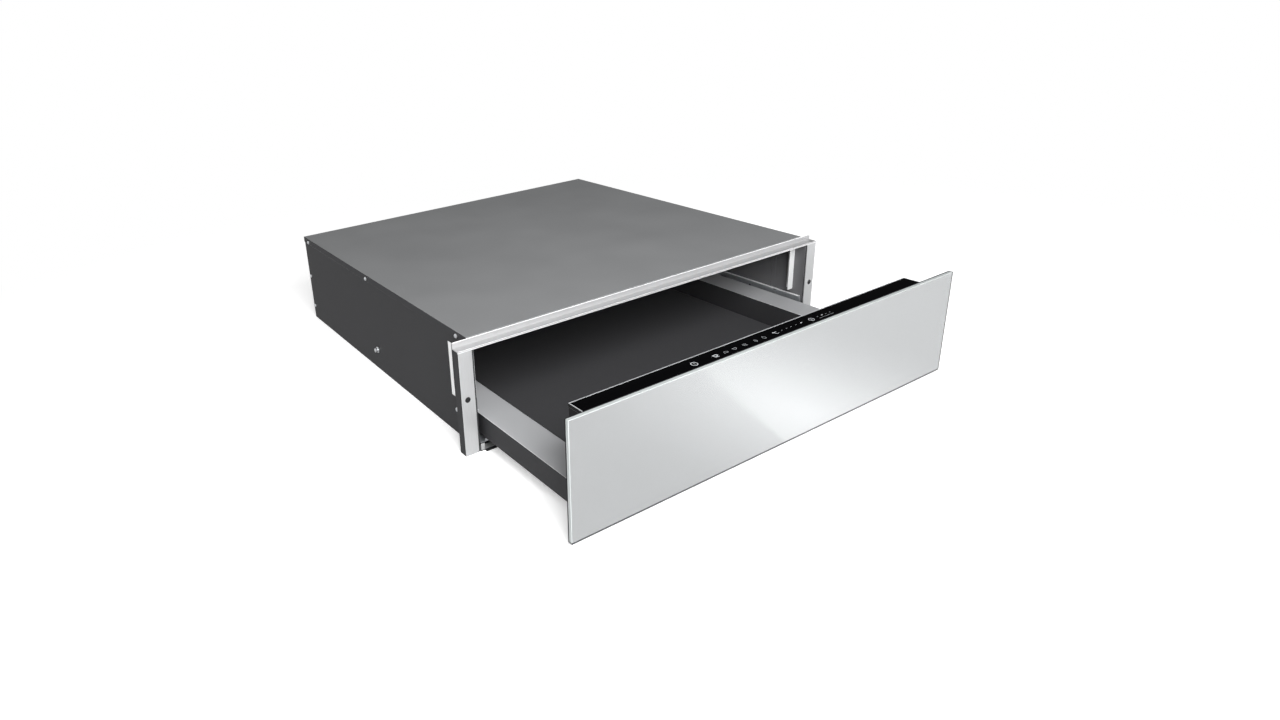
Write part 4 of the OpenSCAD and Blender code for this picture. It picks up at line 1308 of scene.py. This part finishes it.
# The generic signs of such a control: each is a few plain strokes.
SIGNS: dict[str, list[Stroke]] = {
    "power": [Stroke(arc((0, 0), 4.6, 0, 360, 32), closed=True, width_mm=0.8),
              Stroke([(0, -1.6), (0, 2.0)])],
    "cup": [Stroke([(-3.4, 2.4), (-2.8, -1.2), (-1.6, -2.2), (1.2, -2.2), (2.3, -1.2),
                    (2.9, 2.4)], closed=True, width_mm=1.1),
            Stroke(arc((3.0, 0.6), 1.4, -70, 80, 8)), Stroke([(-3.6, -3.6), (3.6, -3.6)])],
    "plate": [Stroke(arc((0, -1.4), 3.3, 0, 180, 14)), Stroke([(-4.0, -1.9), (4.0, -1.9)])],
    "bowl": [Stroke(arc((0, 1.2), 3.2, 180, 360, 14)), Stroke([(-3.9, 1.7), (3.9, 1.7)])],
    "steam": [Stroke([(shift + 0.7 * math.sin(0.65 * k), 0.5 * k - 3.0) for k in range(13)],
                     width_mm=0.5) for shift in (-2.6, 0.0, 2.6)],
    "leaf": [Stroke(arc((-1.4, 0), 3.6, -55, 55, 10) + arc((1.4, 0), 3.6, 125, 235, 10),
                    closed=True, width_mm=0.5),
             Stroke([(0, -4.0), (0, 1.4)], width_mm=0.5)],
    "drop": [Stroke([(0, 3.8)] + arc((0, -0.9), 2.5, 30, -210, 14), closed=True)],
    "degree": [Stroke(arc((-2.6, 2.4), 1.1, 0, 360, 14), closed=True, width_mm=0.8),
               Stroke(arc((1.6, 0), 2.9, 45, 315, 16))],
    "clock": [Stroke(arc((0, 0), 4.2, 0, 360, 28), closed=True),
              Stroke([(0, 2.6), (0, 0), (1.9, -1.1)])],
    "level off": [Stroke([(-1.4, 1.2), (1.4, 1.2)])],
    "level on": [Stroke([(-1.5, 0.9), (1.7, 1.7)], width_mm=1.5)],
    "underline": [Stroke([(-1.9, -4.2), (28.9, -4.2)], width_mm=0.5)]}


@dataclass
class ControlStrip:
    """The touch controls behind the front: glass, trim and printed signs.

    Attributes:
        top_mm: Upper face of the glass.
        arris_mm: Width of the rounded edge of the glass.
        trim_mm: Width of the rounded edges of the trim.
        trim_least_mm: Shortest edge of the trim that is rounded.
        outer_mm2: Walls of the trim that are larger than this are its dark outer ones.
        ink_mm: Thickness of the print, drawn thicker than the real one.
        sign_share: Size of the signs as a share of their drawing.
        row_mm: Middle line of the signs.
        bright: The signs in the bright ink, each with its place from the middle.
        dim: The same for the dim ink.
    """

    top_mm: float = 126.0
    arris_mm: float = 0.4
    trim_mm: float = 0.25
    trim_least_mm: float = 20.0
    outer_mm2: float = 40.0
    ink_mm: float = 0.05
    sign_share: float = 0.8
    row_mm: float = -184.0
    bright: tuple[tuple[str, float], ...] = (
        ("power", -113.5), ("cup", -82.8), ("degree", 10.6), ("clock", 70.5),
        ("level on", 54.0), ("level on", 90.0))
    dim: tuple[tuple[str, float], ...] = (
        ("plate", -67.9), ("bowl", -54.1), ("steam", -38.7), ("leaf", -21.8), ("drop", -8.8),
        ("level off", 21.4), ("level off", 28.9), ("level off", 36.8), ("level off", 44.9),
        ("level off", 82.2), ("level off", 97.0), ("level off", 103.8), ("underline", 82.2))

    def build(self) -> None:
        """Makes the glass, the trim and the signs."""
        glass = softened("control_glass", self.arris_mm, 2)
        settle(new_piece("control_pane", glass, [Finishes.black_glass]), "drawer",
               "control_glass", "control_glass")
        trim = softened("control_trim", self.trim_mm, 2, self.trim_least_mm)
        least = self.outer_mm2 * MM * MM
        paint(trim, lambda face: int(face.normal.z < FOLD[0] and face.calc_area() > least))
        settle(new_piece("control_frame", trim, [Finishes.trim, Finishes.housing]), "drawer",
               "stainless", "control_trim")
        self.signs()

    def signs(self) -> None:
        """Prints the generic signs and the two rows of level marks."""
        mesh = bmesh.new()
        share, low, high = self.sign_share, self.top_mm * MM, (self.top_mm + self.ink_mm) * MM
        for slot, row in enumerate((self.bright, self.dim)):
            for middle, line in ((x, line) for sign, x in row for line in SIGNS[sign]):
                path = [((middle + x * share) * MM, (self.row_mm + y * share) * MM)
                        for x, y in line.points]
                ribbon(mesh, path, line.width_mm * MM, low, high, line.closed, slot)
        bmesh.ops.recalc_face_normals(mesh, faces=mesh.faces)
        settle(new_piece("control_signs", mesh, [Finishes.sign, Finishes.dim_sign]), "drawer",
               "pale_plastic")


@dataclass
class DrawerWell:
    """The drawer behind the front.

    Attributes:
        fold_mm: Width of the rounded folds of the flanges.
        least_mm: Shortest fold that is rounded.
        seal_mm: Depth of the black seal between a flange and the front.
    """

    fold_mm: float = 0.6
    least_mm: float = 100.0
    seal_mm: float = 3.5

    def build(self) -> None:
        """Makes the two sides with rounded folds."""
        finishes = [Finishes.flange, Finishes.well, Finishes.side, Finishes.fold,
                    Finishes.rubber]
        for side in Side:
            node = side.of("drawer_side")
            mesh = softened(node, self.fold_mm, 3, self.least_mm)
            seal_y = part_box(node)[0].y + self.seal_mm * MM
            cut_across(mesh, Axis.Y, seal_y)
            paint(mesh, lambda face: finishes.index(self.finish_of(face, side, seal_y)))
            settle(new_piece(side.of("well_side"), mesh, finishes), "drawer", "drawer_flange",
                   node)

    def finish_of(self, face: Face, side: Side, seal_y: float) -> Finish:
        """Says which finish a face of a drawer side has.

        Args:
            face: The face.
            side: Side of the drawer.
            seal_y: Where the seal ends, in metres.

        Returns:
            Its finish.
        """
        if face.calc_center_median().y < seal_y:
            return Finishes.rubber
        # Rounded folds that look up take the painted highlight.
        if FOLD[0] < face.normal.z < FOLD[1]:
            return Finishes.fold
        # Faces that look up take the pale enamel as painted light; outer faces take the dark side
        # powder as painted shade.
        if face.normal.z > LEANING:
            return Finishes.flange
        return Finishes.side if face.normal.x * side.value > LEANING else Finishes.well


@dataclass
class ServiceSpace:
    """What lies behind and above the cavity: the wires and the insulation.

    Attributes:
        wire_y: Line of the bundle.
        wire_z: Height of its middle.
        ends: Left and right end of the bundle.
        risers: Places of the two risers to the duct.
        bundle_mm: Distance of a wire from the middle of the bundle.
        wire_mm: Radius of a wire with its sleeve.
        wire_sides: Faces round a wire.
        twist_mm: Length in which the bundle turns once.
        step_mm: Length of a step along a stretch.
        end_step_mm: The same at the ends, where the bundle rises or turns.
        bend_mm: How far a stretch ends before a bend.
        board_z: Height at which it leaves the supply board.
        duct_z: Height at which a riser enters the duct.
        terminal_y: Line of the mains terminals.
        wool_steps: Faces of the insulation along X and Y.
        round_mm: How far its edges are drawn in.
        round_share: Share of its width over which they are.
        rough_mm: Depth of its uneven face.
        tufts_per_m: How many tufts lie in a metre.
        wool_deg: Edges of the wool that turn by less than this look soft.
    """

    wire_y: float = 476.8
    wire_z: float = 3.3
    ends: Pair = (-170.0, 200.0)
    risers: Pair = (60.0, 110.0)
    bundle_mm: float = 1.55
    wire_mm: float = 0.85
    wire_sides: int = 8
    twist_mm: float = 90.0
    step_mm: float = 4.0
    end_step_mm: float = 1.0
    bend_mm: float = 1.0
    board_z: float = 7.8
    duct_z: float = 38.8
    terminal_y: float = 480.8
    wool_steps: tuple[int, int] = (56, 46)
    round_mm: float = 1.2
    round_share: float = 0.02
    rough_mm: float = 0.5
    tufts_per_m: float = 55.0
    wool_deg: float = 80.0

    def build(self) -> None:
        """Makes the wires and the insulation."""
        self.wires()
        self.insulation()

    def strand(self, mesh: Mesh, route: Sequence[Vector], count: int, slot: int) -> None:
        """Sweeps one wire of a twisted bundle.

        Args:
            mesh: The mesh of the wires.
            route: Middle line of the bundle, in millimetres.
            count: Wires round the bundle.
            slot: Number of the wire and of its finish.
        """
        gone, before = 0.0, route[0]
        path = []
        for point, across, up in carried(route):
            gone += (point - before).length
            before = point
            turn = math.tau * (slot / count + gone / self.twist_mm)
            off = across * math.cos(turn) + up * math.sin(turn)
            path.append((point + self.bundle_mm * off) * MM)
        tube(mesh, path, self.wire_mm * MM, self.wire_sides, slot)

    def line(self, first: Point, last: Point, step_mm: float) -> list[Vector]:
        """Makes a straight stretch of a route.

        Args:
            first: Its first point, in millimetres.
            last: Its last point.
            step_mm: Length of a step, at the least.

        Returns:
            Its points, with both ends.
        """
        start, end = Vector(first), Vector(last)
        count = max(2, int((end - start).length / step_mm))
        return [start.lerp(end, i / count) for i in range(count + 1)]

    def wires(self) -> None:
        """Lays the bundle along the floor, with its bends and risers, in three colours."""
        y, z, (left, right), bend = self.wire_y, self.wire_z, self.ends, self.bend_mm
        main = (self.line((left, y, self.board_z - bend), (left, y, z + bend), self.end_step_mm)
                + self.line((left + bend, y, z), (right - bend, y, z), self.step_mm)
                + self.line((right, y + bend, z), (right, self.terminal_y, z), self.end_step_mm))
        routes = [(main, 3)] + [(self.line((x, y, z), (x, y, self.duct_z), self.step_mm), 2)
                                for x in self.risers]
        mesh = bmesh.new()
        for route, count in routes:
            for slot in range(count):
                self.strand(mesh, route, count, slot)
        bmesh.ops.recalc_face_normals(mesh, faces=mesh.faces)
        shade_round(mesh, mesh.faces)
        piece = new_piece("wire_bundle", mesh,
                          [Finishes.red_sleeve, Finishes.blue_sleeve, Finishes.grey_sleeve])
        settle(piece, "case", "wire", "wiring_loom")

    def insulation(self) -> None:
        """Makes the mineral wool, a slab with soft corners and an uneven face."""
        low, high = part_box("insulation_mat")
        size = high - low
        mesh = bmesh.new()
        bmesh.ops.create_grid(mesh, x_segments=self.wool_steps[0],
                              y_segments=self.wool_steps[1], size=0.5)
        walls = bmesh.ops.extrude_face_region(mesh, geom=list(mesh.faces))
        for vert in walls["geom"]:
            if isinstance(vert, Vert):
                vert.co.z = 1.0
        for vert in mesh.verts:
            edge = min(0.5 - abs(vert.co.x), 0.5 - abs(vert.co.y))
            drawn_in = self.round_mm * MM * max(0.0, 1 - edge / self.round_share)
            x = low.x + (vert.co.x + 0.5) * size.x
            y = low.y + (vert.co.y + 0.5) * size.y
            tuft = noise.noise(Vector((x, y, vert.co.z)) * self.tufts_per_m)
            inward = drawn_in + self.rough_mm * MM * (1 + tuft)
            z = low.z + inward if vert.co.z < 0.5 else high.z - inward
            vert.co = Vector((x, y, z))
        bmesh.ops.recalc_face_normals(mesh, faces=mesh.faces)
        shade_round(mesh, mesh.faces)
        piece = new_piece("insulation_slab", mesh, [Finishes.wool], self.wool_deg)
        settle(piece, "case", "wool", "insulation_mat")


@dataclass(frozen=True)
class Softening:
    """How one CAD node is rounded and dressed.

    Attributes:
        finish: Its finish.
        slot: Material slot of the record.
        body: CAD body that carries it.
        radius_mm: Width of the rounding.
        least_mm: Shortest edge that is rounded.
        crest: Finish of its highest faces, where they take a painted highlight.
    """

    finish: Finish
    slot: str
    body: str
    radius_mm: float = 0.4
    least_mm: float = 60.0
    crest: Finish | None = None


@dataclass
class SoftenedNodes:
    """CAD nodes that keep their shape and get the rounded edges of folds and moulds.

    Attributes:
        table: How each node is rounded and dressed, by its name.
        crest_mm: Height of the highest faces that take the painted highlight.
    """

    table: dict[str, Softening] = field(default_factory=lambda: {
        "control_housing": Softening(Finishes.housing, "black_plastic", "drawer",
                                     radius_mm=1.0),
        "drawer_front_wall": Softening(Finishes.well, "drawer_steel", "drawer"),
        "drawer_rear_wall": Softening(Finishes.well, "drawer_steel", "drawer"),
        "floor_mat": Softening(Finishes.mat, "mat", "drawer"),
        "front_backplate": Softening(Finishes.back_plate, "black_steel", "drawer",
                                     radius_mm=0.3),
        **{side.of("guide_plate"): Softening(Finishes.strip, "stainless", "case",
                                             radius_mm=0.3, least_mm=20.0) for side in Side},
        "front_sill": Softening(Finishes.stile, "stainless", "case"),
        "back_panel": Softening(Finishes.side, "case_side", "case", radius_mm=0.3),
        # The runners' upper edges take a painted highlight.
        **{side.of("runner_outer"): Softening(Finishes.slide, "zinc", "case", radius_mm=0.2,
                                              least_mm=100.0, crest=Finishes.crest)
           for side in Side},
        "latch_body": Softening(Finishes.housing, "black_plastic", "case", radius_mm=0.6,
                                least_mm=8.0),
        "terminal_block": Softening(Finishes.pale, "pale_plastic", "case", least_mm=5.0)})
    crest_mm: float = 1.2

    def build(self) -> None:
        """Rounds every node of the table."""
        for node, how in self.table.items():
            mesh = softened(node, how.radius_mm, 3, how.least_mm)
            finishes = [how.finish]
            if how.crest is not None:
                finishes.append(how.crest)
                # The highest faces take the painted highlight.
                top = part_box(node)[1].z - self.crest_mm * MM
                paint(mesh, lambda face: int(face.calc_center_median().z > top))
            settle(new_piece(f"{node}_rounded", mesh, finishes), how.body, how.slot, node)


@dataclass
class CarriedNodes:
    """CAD nodes whose shape is kept, each with its finish.

    Attributes:
        finishes: The finish of each node, by its name.
    """

    finishes: dict[str, Finish] = field(default_factory=lambda: {
        # The bottom panel takes the darker powder, as painted shade under the drawer.
        "bottom_panel": Finishes.shaded_floor_paint, "cavity_ceiling": Finishes.cavity,
        "cavity_rear_wall": Finishes.cavity, "fan_housing": Finishes.duct,
        "fan_motor": Finishes.core, "heating_element": Finishes.tube,
        "thermal_cutout": Finishes.brown, "temperature_sensor": Finishes.zinc,
        "power_board": Finishes.board, "cable_gland": Finishes.housing,
        "latch_spring": Finishes.screw, "front_buffers": Finishes.rubber,
        "front_brackets": Finishes.zinc, "touch_board": Finishes.touch,
        "drawer_floor": Finishes.well, "latch_striker": Finishes.zinc,
        "drawer_screws": Finishes.screw, "fan_rotor": Finishes.wheel,
        "latch_plunger": Finishes.pale,
        **{side.of(stem): Finishes.slide for stem in ("runner_inner", "runner_mid")
           for side in Side},
        **{side.of(stem): Finishes.cage for stem in ("outer_cage", "inner_cage")
           for side in Side}})

    def build(self, nodes: dict[str, bpy.types.Object]) -> None:
        """Gives each kept node its finish.

        Args:
            nodes: The CAD nodes by name.
        """
        for name, finish in self.finishes.items():
            for slot in nodes[name].material_slots:
                slot.link = "OBJECT"
                slot.material = finish.material()
            LOG.info("%s keeps its CAD shape, in %s", name, finish.name)


@dataclass(frozen=True)
class Softbox:
    """One soft lamp of the studio.

    Attributes:
        name: Name of the lamp.
        place: Where it hangs, in metres.
        aim: What it points at, in metres.
        size: Width and height, in metres.
        power: Power in watts.
    """

    name: str
    place: Point
    aim: Point
    size: Pair
    power: float

    def hang(self) -> None:
        """Makes the lamp and turns it to its aim."""
        data = bpy.data.lights.new(self.name, "AREA")
        data.shape = "RECTANGLE"
        data.size, data.size_y = self.size
        data.energy = self.power
        lamp = bpy.data.objects.new(self.name, data)
        lamp.location = self.place
        aim = Vector(self.aim) - Vector(self.place)
        lamp.rotation_euler = aim.to_track_quat("-Z", "Y").to_euler()
        lamp.visible_camera = False
        bpy.context.scene.collection.objects.link(lamp)


@dataclass
class Studio:
    """Floor, surroundings, lamps and camera.

    Attributes:
        azimuth: Turn of the camera round the object, in degrees.
        elevation: Height angle of the camera, in degrees.
        roll: Lean of the camera, in degrees.
        place_mm: Where the camera stands.
        focal_px: Focal length in pixels of the picture.
        middle_px: Where the optical axis meets the picture.
        picture_px: Width and height of the picture.
        sensor_mm: Width of the camera's sensor.
        lamps: The soft lamps.
        soft_light: Light of the surroundings on what doesn't mirror them.
        bright_way: Direction in which mirrors see the surroundings bright.
        bright_span: How squarely a mirror looks that way, where the light is least and most.
        bright_light: That least and most light.
        floor_m: Half of the floor's width.
        floor_drop_mm: How far the floor lies under the object.
        floor_glow: Light of the floor itself, which keeps its shadows soft.
        fade_m: Distance from the middle where the floor starts and ends to turn white.
        pool_at: Middle of the pool of light that mirrors see on the floor, in metres.
        pool_reach: Distance over which the pool fades, in metres.
        pool_light: Strength of its light.
        pool_shape: How much each direction counts in that distance.
        pool_shares: Share of the light at each share of the reach.
        beam_across: Direction across the beam that meets the pool.
        beam_reach: Distance over which the beam fades, in metres.
        beam_shares: Share of the light that it adds at each share of its reach.
        beam_offset: Where the beam starts, from the pool's middle, in metres.
    """

    azimuth: float = -31.187
    elevation: float = 21.183
    roll: float = -3.512
    place_mm: Point = (-675.6, -733.0, 504.8)
    focal_px: float = 818.1
    middle_px: Pair = (500.0, 300.0)
    picture_px: Pair = (1280.0, 720.0)
    sensor_mm: float = 36.0
    lamps: tuple[Softbox, ...] = (
        Softbox("key_softbox", (-0.35, -1.0, 1.0), (0.0, -0.1, 0.05), (0.9, 0.7), 24.0),
        Softbox("front_softbox", (-0.5, -2.1, 0.6), (0.0, 0.0, 0.07), (2.0, 1.0), 38.0),
        Softbox("rear_softbox", (-1.7, 1.6, 1.7), (0.0, 0.2, 0.1), (1.6, 1.0), 8.0))
    soft_light: float = 0.4
    bright_way: Point = (-0.35, -0.8, 0.5)
    bright_span: Pair = (-0.2, 0.55)
    bright_light: Pair = (0.03, 0.9)
    floor_m: float = 8.0
    floor_drop_mm: float = 0.2
    floor_glow: float = 0.4
    fade_m: Pair = (0.75, 1.3)
    pool_at: Pair = (0.078, -0.258)
    pool_reach: float = 1.6
    pool_light: float = 1.45
    pool_shape: Point = (1.0, 0.6, 0.0)
    pool_shares: tuple[Pair, ...] = (
        (0.0, 0.8), (0.039, 0.68), (0.078, 0.54), (0.119, 0.44), (0.156, 0.4), (1.0, 0.385))
    beam_across: Pair = (0.952, 0.307)
    beam_reach: float = 0.2
    beam_shares: tuple[Pair, ...] = ((0.0, 0.0), (0.03, 0.15), (0.6, 0.115))
    beam_offset: float = -0.057

    def build(self) -> None:
        """Makes the whole studio."""
        self.camera()
        self.surroundings()
        self.floor()
        for lamp in self.lamps:
            lamp.hang()

    def camera(self) -> None:
        """Sets up the camera, at the angle that was fitted to the photograph."""
        turn, lift, lean = (math.radians(v) for v in (self.azimuth, self.elevation, self.roll))
        back = Vector((math.sin(turn) * math.cos(lift), -math.cos(turn) * math.cos(lift),
                       math.sin(lift)))
        right = (-back).cross(Vector((0, 0, 1))).normalized()
        down = (-back).cross(right)
        rolled_right = right * math.cos(lean) - down * math.sin(lean)
        rolled_down = right * math.sin(lean) + down * math.cos(lean)
        data = bpy.data.cameras.new("studio_camera")
        width, height = self.picture_px
        data.sensor_width = self.sensor_mm
        data.lens = self.focal_px / width * data.sensor_width
        data.shift_x = (width / 2 - self.middle_px[0]) / width
        data.shift_y = (self.middle_px[1] - height / 2) / width
        made = bpy.data.objects.new("studio_camera", data)
        turned = Matrix((rolled_right, -rolled_down, back)).transposed()
        made.matrix_world = Matrix.Translation(Vector(self.place_mm) * MM) @ turned.to_4x4()
        bpy.context.scene.collection.objects.link(made)
        bpy.context.scene.camera = made

    def any_ray(self, tree: Tree, *rays: Ray) -> Socket:
        """Makes a switch that is one for any of the rays.

        Args:
            tree: The tree that takes it.
            *rays: The rays.

        Returns:
            Its value, 0 or 1.
        """
        path = add_node(tree, "ShaderNodeLightPath").outputs
        total = path[rays[0].value]
        for ray in rays[1:]:
            total = add_node(tree, "ShaderNodeMath", links={0: total, 1: path[ray.value]},
                             operation="MAXIMUM").outputs[0]
        return total

    def surroundings(self) -> None:
        """White to the eye, and in mirrors a room that is bright before the drawer and above."""
        world = bpy.data.worlds.new("studio_world")
        bpy.context.scene.world = world
        world.use_nodes = True
        tree = world.node_tree
        tree.nodes.clear()
        white = {"Color": linear("#ffffff")}
        way = add_node(tree, "ShaderNodeTexCoord").outputs["Generated"]
        toward = add_node(tree, "ShaderNodeVectorMath", {1: self.bright_way}, {0: way},
                          operation="DOT_PRODUCT")
        room = add_node(tree, "ShaderNodeMapRange",
                        {"From Min": self.bright_span[0], "From Max": self.bright_span[1],
                         "To Min": self.bright_light[0], "To Max": self.bright_light[1]},
                        {"Value": toward.outputs["Value"]}, interpolation_type="SMOOTHSTEP")
        soft = add_node(tree, "ShaderNodeBackground", {**white, "Strength": self.soft_light})
        mirrored = add_node(tree, "ShaderNodeBackground", white,
                            {"Strength": room.outputs["Result"]})
        seen = add_node(tree, "ShaderNodeBackground", {**white, "Strength": 1.0})
        unseen = add_node(tree, "ShaderNodeMixShader",
                          links={0: self.any_ray(tree, Ray.GLOSSY), 1: soft.outputs[0],
                                 2: mirrored.outputs[0]})
        whole = add_node(tree, "ShaderNodeMixShader",
                         links={0: self.any_ray(tree, Ray.CAMERA, Ray.TRANSMISSION),
                                1: unseen.outputs[0], 2: seen.outputs[0]})
        add_node(tree, "ShaderNodeOutputWorld", links={"Surface": whole.outputs[0]})

    def floor(self) -> None:
        """A pale floor that keeps the shadow, ends in white, and shows mirrors a pool of light."""
        mesh = bmesh.new()
        bmesh.ops.create_grid(mesh, x_segments=4, y_segments=4, size=self.floor_m)
        for vert in mesh.verts:
            vert.co.z = -self.floor_drop_mm * MM
        data = bpy.data.meshes.new("studio_floor")
        mesh.to_mesh(data)
        mesh.free()
        made = bpy.data.materials.new("pale_studio_floor")
        made.use_nodes = True
        tree = made.node_tree
        tree.nodes.clear()
        place = add_node(tree, "ShaderNodeTexCoord").outputs["Object"]
        matt = add_node(tree, "ShaderNodeBsdfDiffuse", {"Color": linear("#f4f4f4")})
        glow = add_node(tree, "ShaderNodeEmission",
                        {"Color": linear("#ffffff"), "Strength": self.floor_glow})
        near = add_node(tree, "ShaderNodeAddShader",
                        links={0: matt.outputs[0], 1: glow.outputs[0]})
        far_off = add_node(tree, "ShaderNodeVectorMath", links={0: place}, operation="LENGTH")
        fade = add_node(tree, "ShaderNodeMapRange",
                        {"From Min": self.fade_m[0], "From Max": self.fade_m[1]},
                        {"Value": far_off.outputs["Value"]}, interpolation_type="SMOOTHSTEP")
        white = add_node(tree, "ShaderNodeEmission", {"Color": linear("#ffffff")})
        seen = add_node(tree, "ShaderNodeMath",
                        links={0: fade.outputs["Result"], 1: self.any_ray(tree, Ray.CAMERA)},
                        operation="MULTIPLY")
        open_floor = add_node(tree, "ShaderNodeMixShader",
                              links={0: seen.outputs[0], 1: near.outputs[0],
                                     2: white.outputs[0]})
        whole = add_node(tree, "ShaderNodeMixShader",
                         links={0: self.any_ray(tree, Ray.GLOSSY), 1: open_floor.outputs[0],
                                2: self.pool(tree, place)})
        add_node(tree, "ShaderNodeOutputMaterial", links={"Surface": whole.outputs[0]})
        data.materials.append(made)
        plane = bpy.data.objects.new("studio_floor", data)
        bpy.context.scene.collection.objects.link(plane)

    def pool(self, tree: Tree, place: Socket) -> Socket:
        """Makes the floor as mirrors show it: a round pool of light, crossed by a beam.

        Args:
            tree: The floor's tree.
            place: The point on the floor.

        Returns:
            The shader of that light.
        """
        off = add_node(tree, "ShaderNodeVectorMath", {1: (*self.pool_at, 0.0)}, {0: place},
                       operation="SUBTRACT")
        shaped = add_node(tree, "ShaderNodeVectorMath", {1: self.pool_shape},
                          {0: off.outputs[0]}, operation="MULTIPLY")
        gap = add_node(tree, "ShaderNodeVectorMath", links={0: shaped.outputs[0]},
                       operation="LENGTH")
        share = add_node(tree, "ShaderNodeMath", {1: self.pool_reach},
                         {0: gap.outputs["Value"]}, operation="DIVIDE")
        across = add_node(tree, "ShaderNodeVectorMath", {1: (*self.beam_across, 0.0)},
                          {0: place}, operation="DOT_PRODUCT")
        start = Vector(self.pool_at).dot(Vector(self.beam_across)) + self.beam_offset
        along = add_node(tree, "ShaderNodeMapRange",
                         {"From Min": start, "From Max": start + self.beam_reach},
                         {"Value": across.outputs["Value"]})
        both = add_node(tree, "ShaderNodeVectorMath", operation="ADD")
        for number, (source, shares) in enumerate(((share, self.pool_shares),
                                                   (along, self.beam_shares))):
            ramp = add_node(tree, "ShaderNodeValToRGB", links={"Fac": source.outputs[0]})
            stops = ramp.color_ramp.elements
            while len(stops) < len(shares):
                stops.new(1.0)
            for stop, (position, grey) in zip(stops, shares):
                stop.position, stop.color = position, (grey, grey, grey, 1.0)
            tree.links.new(ramp.outputs["Color"], both.inputs[number])
        light = add_node(tree, "ShaderNodeEmission", {"Strength": self.pool_light},
                         {"Color": both.outputs[0]})
        return light.outputs[0]


def clear_scene() -> None:
    """Removes what a new Blender file holds."""
    for item in list(bpy.data.objects):
        bpy.data.objects.remove(item)


def main() -> None:
    """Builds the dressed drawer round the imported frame."""
    logging.basicConfig(level=logging.INFO, format="%(name)s: %(message)s")
    clear_scene()
    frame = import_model()
    for assembly in (CaseShell(), FrontFrame(), FrontPanel(), ControlStrip(), DrawerWell(),
                     ServiceSpace(), SoftenedNodes()):
        assembly.build()
    CarriedNodes().build(frame["nodes"])
    Studio().build()
    bpy.context.scene.view_settings.view_transform = "Standard"
    bpy.context.view_layer.update()


if __name__ == "__main__":
    main()
